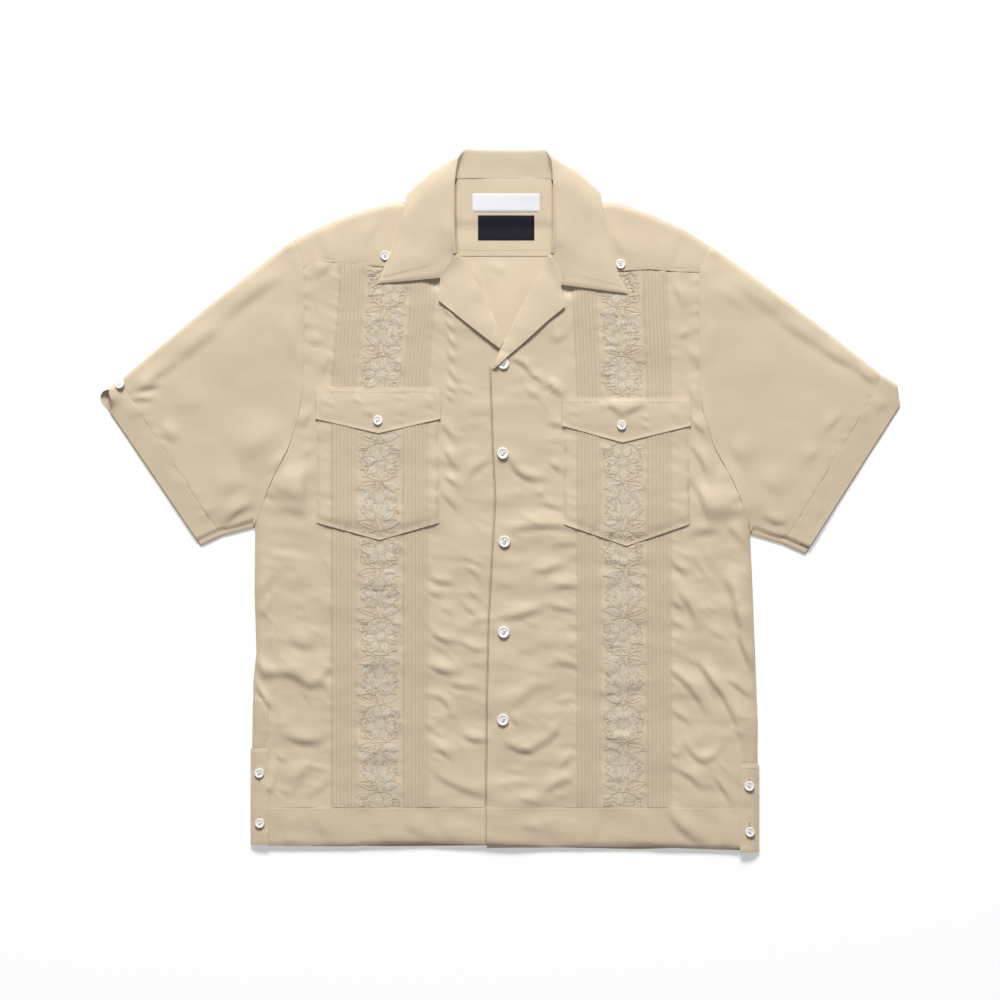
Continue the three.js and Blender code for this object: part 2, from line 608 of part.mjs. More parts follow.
// Height of the upper layer across the sleeve, from the underarm fold to the shoulder fold.
const SLEEVE_PROFILE = [
  { share: 0, rise: 0.42 }, { share: 0.03, rise: 0.8 },
  { share: 0.12, rise: 1 }, { share: 0.3, rise: 0.86 },
  { share: 0.5, rise: 0.92 }, { share: 0.68, rise: 0.78 },
  { share: 0.8, rise: 0.62 }, { share: 0.9, rise: 1.04 },
  { share: 0.97, rise: 0.86 }, { share: 1, rise: 0.42 },
];
function profileRise(share) {
  const i = Math.max(1, SLEEVE_PROFILE.findIndex((row) => share <= row.share));
  const [from, to] = [SLEEVE_PROFILE[i - 1], SLEEVE_PROFILE[i]];
  return lerp(from.rise, to.rise, smoothstep(share, from.share, to.share));
}
// A flattened tube. start and end are its two open edges, each from the underarm to the shoulder fold.
function flatTube({ start, end, stations, topAt, bow = 0 }) {
  const outer = [];
  const inner = [];
  const last = ACROSS.length - 1;
  for (let i = 0; i < stations; i++) {
    const u = i / (stations - 1);
    const plan = ACROSS.map((share, j) => {
      const bulge = bow * Math.sin(Math.PI * u) * smoothstep(share, 0.6, 1);
      return new THREE.Vector2(lerp(start[j][0], end[j][0], u), lerp(start[j][1], end[j][1], u) + bulge);
    });
    const acrossWay = plan[last].clone().sub(plan[0]).normalize();
    const ringOf = (inset) => {
      const fold = (j, sign) => {
        const { x, y } = plan[j].clone().addScaledVector(acrossWay, sign * inset);
        return new THREE.Vector3(x, y, topAt(u) * profileRise(ACROSS[j]));
      };
      const layer = (height) =>
        plan.slice(1, -1).map(({ x, y }, j) => new THREE.Vector3(x, y, height(ACROSS[j + 1])));
      const upper = layer((share) => topAt(u) * profileRise(share) - inset);
      const lower = layer(() => inset);
      return [fold(0, 1), ...upper, fold(last, -1), ...reversed(lower)];
    };
    outer.push(ringOf(0));
    inner.push(ringOf(CLOTH));
  }
  return wall(outer, inner, { ring: true });
}
const SLEEVE_TOP = 6.2;
const CUFF_TOP = 6.6;
for (const { side, armhole, cuffSeam, cuffEdge, bow } of SLEEVES) {
  const outward = Math.sign(cuffSeam[0][0]);
  add(
    `${side}_sleeve`,
    flatTube({
      start: armhole,
      end: closerAtEnds(cuffSeam),
      stations: 7,
      topAt: (u) => lerp(BODY_RISE, SLEEVE_TOP, u),
      bow,
    }),
  );
  add(
    `${side}_cuff`,
    flatTube({
      start: closerAtEnds(shifted(cuffSeam, outward * SEAM, -SEAM)),
      end: closerAtEnds(cuffEdge),
      stations: 3,
      topAt: (u) => lerp(CUFF_TOP, side === "right" ? 8.6 : 7.4, u),
    }),
  );
}

// ---- Woven labels sewn inside the back yoke, left blank ----
const LABELS = [
  { name: "upper_label", color: 0xf4f4f6, x: [-30.2, 42.3], y: [311.6, 331] },
  { name: "lower_label", color: 0x26262b, x: [-24.3, 36.6], y: [280.7, 303.5] },
];
const LABEL_WALL = 0.6;
for (const { name, color, x, y } of LABELS) {
  const width = x[1] - x[0];
  const height = y[1] - y[0];
  const rest = LEAF_LIFT * Math.min(1, (y[1] - (LEAF_EDGE_Y - LEAF_CLEAR)) / (LEAF_CLEAR - 2));
  const label = new THREE.BoxGeometry(width, height, LABEL_WALL);
  label.translate((x[0] + x[1]) / 2, (y[0] + y[1]) / 2, rest + CLOTH + SEAM + LABEL_WALL / 2);
  add(name, label, wovenLabel(color));
}

// ---- Buttons: turned discs with a raised rim and four thread holes ----
const BUTTON_SIDES = 12;
const HOLE_SPREAD = 0.24; // of the radius
function buttonSolid({ radius, thickness }) {
  const profile = [
    [0, 0], [radius * 0.86, 0], [radius, thickness],
    [radius * 0.74, thickness], [radius * 0.62, thickness * 0.74], [0, thickness * 0.74],
  ].map(([x, y]) => new THREE.Vector2(x, y));
  let solid = solidFrom(new THREE.LatheGeometry(profile, BUTTON_SIDES).rotateX(Math.PI / 2));
  for (const [dx, dy] of [[1, 1], [-1, 1], [-1, -1], [1, -1]]) {
    const hole = new THREE.CylinderGeometry(radius * 0.12, radius * 0.12, thickness * 3, 4);
    hole.rotateX(Math.PI / 2);
    hole.translate(dx * radius * HOLE_SPREAD, dy * radius * HOLE_SPREAD, 0);
    solid = solid.subtract(solidFrom(hole));
  }
  return geometryFrom(solid);
}
const overVent = (s, y) => frontPlain(s, y) + LAYER;
const onYoke = () => 6.4;
const BUTTONS = [
  { name: "front_button_1", x: 3.6, y: 146.8, on: leftFrontTop, size: FRONT_BUTTON },
  { name: "front_button_2", x: 2.7, y: 50.8, on: leftFrontTop, size: FRONT_BUTTON },
  { name: "front_button_3", x: 4.3, y: -44.3, on: leftFrontTop, size: FRONT_BUTTON },
  { name: "front_button_4", x: 3.5, y: -142, on: leftFrontTop, size: FRONT_BUTTON },
  { name: "front_button_5", x: 2.7, y: -236.5, on: leftFrontTop, size: FRONT_BUTTON },
  { name: "right_flap_button", x: -132.3, y: 86.4, on: flapTop, size: SMALL_BUTTON },
  { name: "left_flap_button", x: 130.6, y: 81.2, on: flapTop, size: SMALL_BUTTON },
  { name: "right_yoke_button", x: -124.2, y: 264, on: onYoke, size: SMALL_BUTTON },
  { name: "left_yoke_button", x: 129.6, y: 255, on: onYoke, size: SMALL_BUTTON },
  { name: "right_vent_button_1", x: -260, y: -294, on: overVent, size: SMALL_BUTTON },
  { name: "right_vent_button_2", x: -259.5, y: -347.9, on: overVent, size: SMALL_BUTTON },
  { name: "left_vent_button_1", x: 268.2, y: -308, on: overVent, size: SMALL_BUTTON },
  { name: "left_vent_button_2", x: 269, y: -357.5, on: overVent, size: SMALL_BUTTON },
];
for (const { name, x, y, on, size } of BUTTONS) {
  const button = add(name, buttonSolid(size), buttonMaterial());
  button.position.set(x, y, highestUnder(on, x, y, size.radius) + SEAM);
}

// The cuff's button sits on its shoulder fold and leans outwards with it.
const CUFF_BUTTON = { at: [-410.6, 125.2, 4.9], lean: [-0.547, 0.838, 2.1] };
const facing = vector(CUFF_BUTTON.lean).normalize();
const cuffButton = add("right_cuff_button", buttonSolid(SMALL_BUTTON), buttonMaterial());
cuffButton.quaternion.setFromUnitVectors(new THREE.Vector3(0, 0, 1), facing);
cuffButton.position.copy(vector(CUFF_BUTTON.at)).addScaledVector(facing, SEAM);

export default shirt;
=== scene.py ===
import math
import random

import bpy
import numpy as np
from mathutils import Matrix, Vector
from mathutils.geometry import delaunay_2d_cdt


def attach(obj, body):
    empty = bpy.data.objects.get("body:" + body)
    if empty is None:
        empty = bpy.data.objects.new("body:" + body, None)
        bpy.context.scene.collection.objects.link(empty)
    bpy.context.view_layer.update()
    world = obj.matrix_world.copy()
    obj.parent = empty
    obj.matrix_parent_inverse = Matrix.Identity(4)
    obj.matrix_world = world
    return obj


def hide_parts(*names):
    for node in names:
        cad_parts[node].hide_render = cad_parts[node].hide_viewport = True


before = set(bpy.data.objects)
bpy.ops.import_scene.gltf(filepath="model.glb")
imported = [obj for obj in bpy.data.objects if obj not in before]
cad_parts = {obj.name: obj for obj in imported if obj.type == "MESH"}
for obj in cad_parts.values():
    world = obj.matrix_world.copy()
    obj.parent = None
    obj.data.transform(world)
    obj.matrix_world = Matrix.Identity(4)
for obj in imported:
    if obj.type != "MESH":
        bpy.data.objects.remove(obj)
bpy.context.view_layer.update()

# ---------------------------------------------------------------- Table, lights and camera
# The shirt lies on a pale tabletop. Soft light falls from beyond the collar, and the camera looks
# straight down.
MM = 0.001
TABLE_HALF = 6.0  # metres


def put_object(name, data):
    made = bpy.data.objects.new(name, data)
    bpy.context.collection.objects.link(made)
    return made


floor_mesh = bpy.data.meshes.new("tabletop")
corners = [(-1, -1), (1, -1), (1, 1), (-1, 1)]
floor_mesh.from_pydata([(x * TABLE_HALF, y * TABLE_HALF, 0) for x, y in corners], [], [(0, 1, 2, 3)])
tabletop = put_object("tabletop", floor_mesh)
tabletop.location.z = -0.0004
floor_paint = bpy.data.materials.new("pale tabletop")
floor_paint.use_nodes = True
for label, value in (
    ("Base Color", (0.65, 0.65, 0.65, 1)), ("Roughness", 0.9),
    ("Emission Color", (1, 1, 1, 1)), ("Emission Strength", 0.35),
):
    floor_paint.node_tree.nodes["Principled BSDF"].inputs[label].default_value = value
floor_mesh.materials.append(floor_paint)

for name, place, width, depth, power in (
    ("key softbox", (-0.3, 6.3, 4.35), 2.9, 1.9, 840),
    ("low softbox", (0.3, 6.0, 1.25), 3.2, 0.8, 36),
    ("top softbox", (0.0, -0.2, 3.4), 2.6, 2.6, 16),
):
    softbox = bpy.data.lights.new(name, "AREA")
    softbox.shape = "RECTANGLE"
    softbox.size, softbox.size_y = width, depth
    softbox.energy = power
    lamp = put_object(name, softbox)
    lamp.location = place
    lamp.rotation_euler = Vector((-place[0], -place[1], -place[2])).to_track_quat("-Z", "Y").to_euler()

sky = bpy.data.worlds.new("white room")
sky.use_nodes = True
sky.node_tree.nodes["Background"].inputs["Color"].default_value = (1, 1, 1, 1)
sky.node_tree.nodes["Background"].inputs["Strength"].default_value = 0.15
bpy.context.scene.world = sky
bpy.context.scene.view_settings.view_transform = "Standard"

VIEW_WIDTH = 1.08  # metres of table across the picture
CAMERA_HEIGHT = 4.0
camera_data = bpy.data.cameras.new("camera")
camera_data.sensor_width = 36
camera_data.lens = 36 * CAMERA_HEIGHT / VIEW_WIDTH
camera_data.clip_end = 50
camera = put_object("camera", camera_data)
camera.location = (-0.0005, 0.0005, CAMERA_HEIGHT)
bpy.context.scene.camera = camera

# ---------------------------------------------------------------- Back
# One panel of thin rayon twill from the yoke seam to the hem. It lies flat on the table, and only its
# inside shows, in the neck opening.
CLOTH_COLOUR = (0.585, 0.483, 0.342)
SHELL = 0.5  # thickness of one layer, mm


def node(tree, kind, inputs=(), **settings):
    made = tree.nodes.new(kind)
    for key, value in settings.items():
        setattr(made, key, value)
    for socket, value in dict(inputs).items():
        if isinstance(value, bpy.types.NodeSocket):
            tree.links.new(value, made.inputs[socket])
        else:
            made.inputs[socket].default_value = value
    return made


def weave_group():
    """Twill weave with slubs and slow mottling. Gives a shade factor near 1 and a height."""
    t = bpy.data.node_groups.new("woven twill", "ShaderNodeTree")
    for label, kind, value in (
        ("Vector", "NodeSocketVector", (0, 0, 0)), ("Thread", "NodeSocketFloat", 0.00035),
        ("Slub", "NodeSocketFloat", 0.03), ("Mottle", "NodeSocketFloat", 0.03),
    ):
        t.interface.new_socket(label, in_out="INPUT", socket_type=kind).default_value = value
    for label in ("Shade", "Height"):
        t.interface.new_socket(label, in_out="OUTPUT", socket_type="NodeSocketFloat")
    given, end = t.nodes.new("NodeGroupInput").outputs, t.nodes.new("NodeGroupOutput")

    def combined(operation, a, b):
        return node(t, "ShaderNodeMath", {0: a, 1: b}, operation=operation).outputs[0]

    def noise(vector, **more):
        return node(t, "ShaderNodeTexNoise", {"Vector": vector, **more}).outputs[0]

    def diagonal(distortion, way):
        wave = {"Vector": threads.outputs[0], "Scale": 0.314, "Distortion": distortion, "Detail": 0.0}
        return node(t, "ShaderNodeTexWave", wave, bands_direction=way).outputs["Fac"]

    count = combined("DIVIDE", 1.0, given["Thread"])
    threads = node(t, "ShaderNodeVectorMath", {0: given["Vector"], "Scale": count}, operation="SCALE")
    weft = node(t, "ShaderNodeMapping", {"Vector": given["Vector"], "Scale": (28, 900, 28)})
    slub = noise(weft.outputs[0], Scale=1.0, Detail=1.5)
    mottle = noise(given["Vector"], Scale=22.0, Detail=3.0, Roughness=0.55)
    slubs = combined("MULTIPLY", combined("SUBTRACT", slub, 0.5), given["Slub"])
    mottles = combined("MULTIPLY", combined("SUBTRACT", mottle, 0.5), given["Mottle"])
    twill = combined("ADD", diagonal(0.6, "DIAGONAL"), diagonal(0.4, "Y"))
    t.links.new(combined("ADD", combined("ADD", slubs, mottles), 1.0), end.inputs["Shade"])
    t.links.new(combined("ADD", twill, slub), end.inputs["Height"])
    return t


WEAVE = weave_group()


def cloth_material(
    name, colour, roughness=0.5, sheen=0.15, thread=0.00035, bump=0.12, mottle=0.05, specular=0.42,
):
    material = bpy.data.materials.new(name)
    material.use_nodes = True
    t = material.node_tree
    shader = t.nodes["Principled BSDF"]
    place = node(t, "ShaderNodeTexCoord")
    weave = node(t, "ShaderNodeGroup", node_tree=WEAVE)
    t.links.new(place.outputs["Object"], weave.inputs["Vector"])
    weave.inputs["Thread"].default_value = thread
    weave.inputs["Mottle"].default_value = mottle
    tint = node(t, "ShaderNodeVectorMath", {0: colour, "Scale": weave.outputs["Shade"]}, operation="SCALE")
    t.links.new(tint.outputs[0], shader.inputs["Base Color"])
    relief = node(t, "ShaderNodeBump", {"Strength": bump, "Distance": 0.0002, "Height": weave.outputs["Height"]})
    t.links.new(relief.outputs[0], shader.inputs["Normal"])
    for label, value in (
        ("Roughness", roughness), ("Specular IOR Level", specular), ("Sheen Weight", sheen), ("Sheen Roughness", 0.45),
    ):
        shader.inputs[label].default_value = value
    return material


CLOTH = cloth_material("tan rayon twill", CLOTH_COLOUR)
CLOTH_INSIDE = cloth_material("tan rayon twill, inside", (0.655, 0.545, 0.385), sheen=0.1)


def resampled(points, step, closed=False):
    """Points along a polyline, at most step apart, its own corners kept."""
    points = [np.array(p, float) for p in points]
    ends = points[1:] + ([points[0]] if closed else [])
    found = []
    for a, b in zip(points, ends):
        count = max(1, int(math.ceil(np.linalg.norm(b - a) / step)))
        found += [a + (b - a) * i / count for i in range(count)]
    return np.array(found if closed else found + [points[-1]])


def spline(points, places):
    """Points on a smooth line through the given ones. A place runs from 0 to their number less 1."""
    p = np.asarray(points, float)
    p = np.vstack([2 * p[0] - p[1], p, 2 * p[-1] - p[-2]])
    places = np.asarray(places, float)
    i = np.clip(np.floor(places).astype(int), 0, len(p) - 4)
    u = (places - i)[:, None]
    a, b, c, d = p[i], p[i + 1], p[i + 2], p[i + 3]
    return 0.5 * (2 * b + (c - a) * u + (2 * a - 5 * b + 4 * c - d) * u * u + (3 * b - a - 3 * c + d) * u**3)


def near_line(x, y, line):
    """For each point: its distance from a polyline, and how far along the line it lies."""
    best = np.full(x.shape, 1e9)
    along = np.zeros(x.shape)
    run = 0.0
    for a, b in zip(line[:-1], line[1:]):
        dx, dy = b[0] - a[0], b[1] - a[1]
        length = math.hypot(dx, dy) or 1e-9
        t = np.clip(((x - a[0]) * dx + (y - a[1]) * dy) / length**2, 0, 1)
        d = np.hypot(x - a[0] - t * dx, y - a[1] - t * dy)
        along = np.where(d < best, run + t * length, along)
        best = np.minimum(best, d)
        run += length
    return best, along


def inside_outline(x, y, outline):
    inside = np.zeros(x.shape, bool)
    for a, b in zip(outline, np.roll(outline, -1, axis=0)):
        if a[1] == b[1]:
            continue
        crosses = (a[1] > y) != (b[1] > y)
        inside ^= crosses & (x < (b[0] - a[0]) * (y - a[1]) / (b[1] - a[1]) + a[0])
    return inside


def link_mesh(name, points, faces, material):
    """A mesh object from points in millimetres."""
    mesh = bpy.data.meshes.new(name)
    mesh.from_pydata((np.asarray(points, float) * MM).tolist(), [], faces)
    mesh.validate()
    mesh.update()
    mesh.shade_smooth()
    mesh.materials.append(material)
    return put_object(name, mesh)


def point_normals(points, triangles):
    a, b, c = (points[triangles[:, k]] for k in range(3))
    face = np.cross(b - a, c - a)
    normals = np.zeros_like(points)
    for k in range(3):
        np.add.at(normals, triangles[:, k], face)
    return normals / np.maximum(np.linalg.norm(normals, axis=1, keepdims=True), 1e-12)


def thin_body(triangles, n):
    """Faces of a thin body: the triangles, their copy n points further on turned over, and a rim."""
    edges = {}
    for t in triangles:
        for k in range(3):
            a, b = int(t[k]), int(t[(k + 1) % 3])
            if (b, a) in edges:
                del edges[(b, a)]
            else:
                edges[(a, b)] = True
    faces = [tuple(t) for t in triangles.tolist()]
    faces += [(c + n, b + n, a + n) for a, b, c in faces]
    return faces + [(b, a, a + n, b + n) for a, b in edges]


def shell(name, points, triangles, material, thickness=SHELL):
    """A thin shell: the given face outside, a second one inside it, and a rim."""
    points, triangles = np.asarray(points, float), np.asarray(triangles, int)
    inner = points - point_normals(points, triangles) * thickness
    made = link_mesh(name, np.vstack([points, inner]), thin_body(triangles, len(points)), material)
    made.data.set_sharp_from_angle(angle=math.radians(52))
    return made


def facing_up(points, triangles):
    """The triangles, each turned so that it faces up."""
    a, b, c = (points[triangles[:, k]] for k in range(3))
    turn = (b[:, 0] - a[:, 0]) * (c[:, 1] - a[:, 1]) - (b[:, 1] - a[:, 1]) * (c[:, 0] - a[:, 0])
    triangles[turn < 0] = triangles[turn < 0][:, ::-1]
    return triangles


def cut_flat(outline, step_x=4.0, step_y=4.0, columns=None, lean=None, edge_step=3.0):
    """Triangles over a flat outline, on a lattice whose columns may be closer at tucks and may lean."""
    border = resampled(outline, edge_step, closed=True)
    low, high = border.min(axis=0), border.max(axis=0)
    if columns is None:
        columns = np.arange(low[0] - 30, high[0] + 30, step_x)
    rows = np.arange(low[1] + step_y / 2, high[1], step_y)
    s, y = np.meshgrid(np.asarray(columns, float), rows)
    s, y = s.ravel(), y.ravel()
    x = lean(s, y) if lean else s
    keep = (x > low[0]) & (x < high[0])
    x, y = x[keep], y[keep]
    keep = inside_outline(x, y, border)
    x, y = x[keep], y[keep]
    closed = np.vstack([border, border[:1]])
    keep = near_line(x, y, closed)[0] > 0.45 * min(step_y, edge_step)
    flat = np.vstack([border, np.column_stack([x[keep], y[keep]])])
    count = len(border)
    found = delaunay_2d_cdt(
        [Vector(p) for p in flat], [(i, (i + 1) % count) for i in range(count)], [list(range(count))], 1, 1e-5
    )
    points = np.array([tuple(v) for v in found[0]])
    return points, facing_up(points, np.array(found[2]))


def smooth(value, low, high):
    t = np.clip((value - low) / (high - low), 0, 1)
    return t * t * (3 - 2 * t)


def falloff(away, reach):
    """1 at a line or place, falling off softly over the reach."""
    return np.exp(-((away / reach) ** 2))


def rounded(t):
    """A quarter round: it rises from 0 and levels out at 1."""
    return np.sqrt(1 - (1 - t) ** 2)


def soft_noise(x, y, cell_x, cell_y, seed):
    """A smooth random height from -1 to 1, on cells of that size."""
    gx, gy = x / cell_x, y / cell_y
    ix, iy = np.floor(gx), np.floor(gy)
    fx, fy = gx - ix, gy - iy
    ux, uy = fx**3 * (fx * (fx * 6 - 15) + 10), fy**3 * (fy * (fy * 6 - 15) + 10)

    def corner(i, j):
        h = np.sin(i * 12.9898 + j * 78.233 + seed * 37.719) * 43758.5453
        return 2 * (h - np.floor(h)) - 1

    low = corner(ix, iy) * (1 - ux) + corner(ix + 1, iy) * ux
    high = corner(ix, iy + 1) * (1 - ux) + corner(ix + 1, iy + 1) * ux
    return low * (1 - uy) + high * uy


def fold_heights(x, y, folds):
    """The folds' rise: a soft upper side, a sharper lower one, and a slight trough at the foot."""
    height = np.zeros(x.shape)
    for x0, y0, x1, y1, bend, width, rise in folds:
        length = math.hypot(x1 - x0, y1 - y0)
        reach = 0.8 * length + 3 * width
        near = np.nonzero((np.abs(x - (x0 + x1) / 2) < reach) & (np.abs(y - (y0 + y1) / 2) < reach))[0]
        if not len(near):
            continue
        ux, uy = (x1 - x0) / length, (y1 - y0) / length
        if ux < 0:
            x0, y0, ux, uy = x1, y1, -ux, -uy
        dx, dy = x[near] - x0, y[near] - y0
        t = (dx * ux + dy * uy) / length
        up = dy * ux - dx * uy - bend * 4 * np.clip(t, 0, 1) * (1 - np.clip(t, 0, 1))
        fade = np.sin(math.pi * np.clip((t + 0.25) / 1.5, 0, 1)) ** 1.6
        ridge = up - 0.26 * width
        side = np.where(ridge > 0, 0.8 * width, (0.1 + 0.02 * min(width, 30)) * width)
        height[near] += rise * fade * (falloff(ridge, side) - 0.3 * falloff(up + 0.2 * width, 0.3 * width))
    return height


def finish_piece(made, *nodes, slot="cloth"):
    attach(made, "root")
    if nodes:
        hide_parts(*nodes)
    return made


def cut_piece(name, outline, face, cloth, *lattice, thickness=SHELL, slot="cloth", **more):
    """A piece cut to a flat outline and laid on a face."""
    flat, faces = cut_flat(outline, *lattice, **more)
    made = shell(name, np.column_stack([flat, face(flat[:, 0], flat[:, 1])]), faces, cloth, thickness)
    return finish_piece(made, name, slot=slot)


HEM_SEAM_Y = -331.0
RIGHT_ARMHOLE = [
    (-264.8, -26), (-256, -2), (-246.8, 22), (-228.4, 57.8), (-220.9, 82.6), (-216.5, 99.9), (-213.3, 124.7),
    (-212.2, 175), (-211.8, 251),
]
LEFT_ARMHOLE = [
    (269.2, -31), (262, -6), (251.1, 21), (230.6, 57.8), (223, 82.6), (217.6, 99.9), (214.6, 124.7),
    (214.2, 180), (214.2, 246),
]
RIGHT_SIDE = [(-264.8, -26), (-265.4, -102), (-263.4, -162), (-266.8, -196), (-266.8, -267), (-268.6, -331)]
LEFT_SIDE = [(269.2, -31), (272.4, -102), (275.4, -180), (277.6, -241), (277.4, -270), (276.8, -331)]
BACK_YOKE_Y = 264.0

back_outline = (
    [(-267, -371), (-120, -373.4), (-16, -372.4), (80, -375), (150, -376.4), (210, -374.6), (272, -373.6)]
    + LEFT_SIDE[::-1]
    + LEFT_ARMHOLE[1:-1]
    + [(213, 262), (60, 262), (60, BACK_YOKE_Y + 6), (-60, BACK_YOKE_Y + 6), (-60, 262), (-213, 262)]
    + RIGHT_ARMHOLE[::-1][1:-1]
    + RIGHT_SIDE
)
# Soft slack below the yoke seam, which shows in the neck opening: from (x0, y0) to (x1, y1) along the
# foot of each fold, its bend, how wide it is and how high.
BACK_FOLDS = (
    (-10, 249, 6, 245, -1, 9, 1.1), (-22, 258, 2, 178, 3, 16, 0.9), (30, 256, 8, 190, -3, 16, 0.8),
    (-6, 252, 2, 214, 0, 10, 0.5), (14, 250, 10, 220, 0, 9, 0.4), (-40, 252, -26, 232, 0, 11, 0.5),
    (36, 240, 24, 220, 0, 9, 0.4),
)

def back_face(x, y):
    slack = 0.3 * soft_noise(x, y, 60, 48, 2) + fold_heights(x, y, BACK_FOLDS)
    return 0.9 + slack * smooth(BACK_YOKE_Y - y, 1, 9)


back = cut_piece("back", back_outline, back_face, CLOTH_INSIDE, 5, 5, edge_step=5)

# ---------------------------------------------------------------- Fronts
# Two panels of the same twill, each with two bands of six stitched tucks beside an embroidered strip.
# The wearer's left front laps over the right one. They lie in soft, uneven folds.
TUCKS = 6
TUCK_PITCH = 4.0
TUCK_RISE = 0.6
TUCK_STEP = 0.14  # share of the pitch in which a tuck steps up
BAND = TUCKS * TUCK_PITCH
TUCK_COLUMNS = (
    dict(bands=(-181.0, -104.0), middle=-130.5, half_span=56, lean=8.5),
    dict(bands=(83.0, 159.5), middle=133.5, half_span=56, lean=-4.5),
)
TUCK_STARTS = [start for column in TUCK_COLUMNS for start in column["bands"]]
BODY_RISE, SEAM_RISE = 6.0, 2.2
EDGE_ROUND = 20.0


def lean_x(s, y):
    """Where a lattice column lies: the tucked columns lean a little towards the neck."""
    x = np.array(s, float)
    for column in TUCK_COLUMNS:
        within = 1 - smooth(np.abs(s - column["middle"]), column["half_span"], column["half_span"] + 30)
        x = x + column["lean"] * within * smooth(y, 110, 240)
    return x


def unlean(x, y):
    s = np.array(x, float)
    for _ in range(3):
        s = s - (lean_x(s, y) - x)
    return s


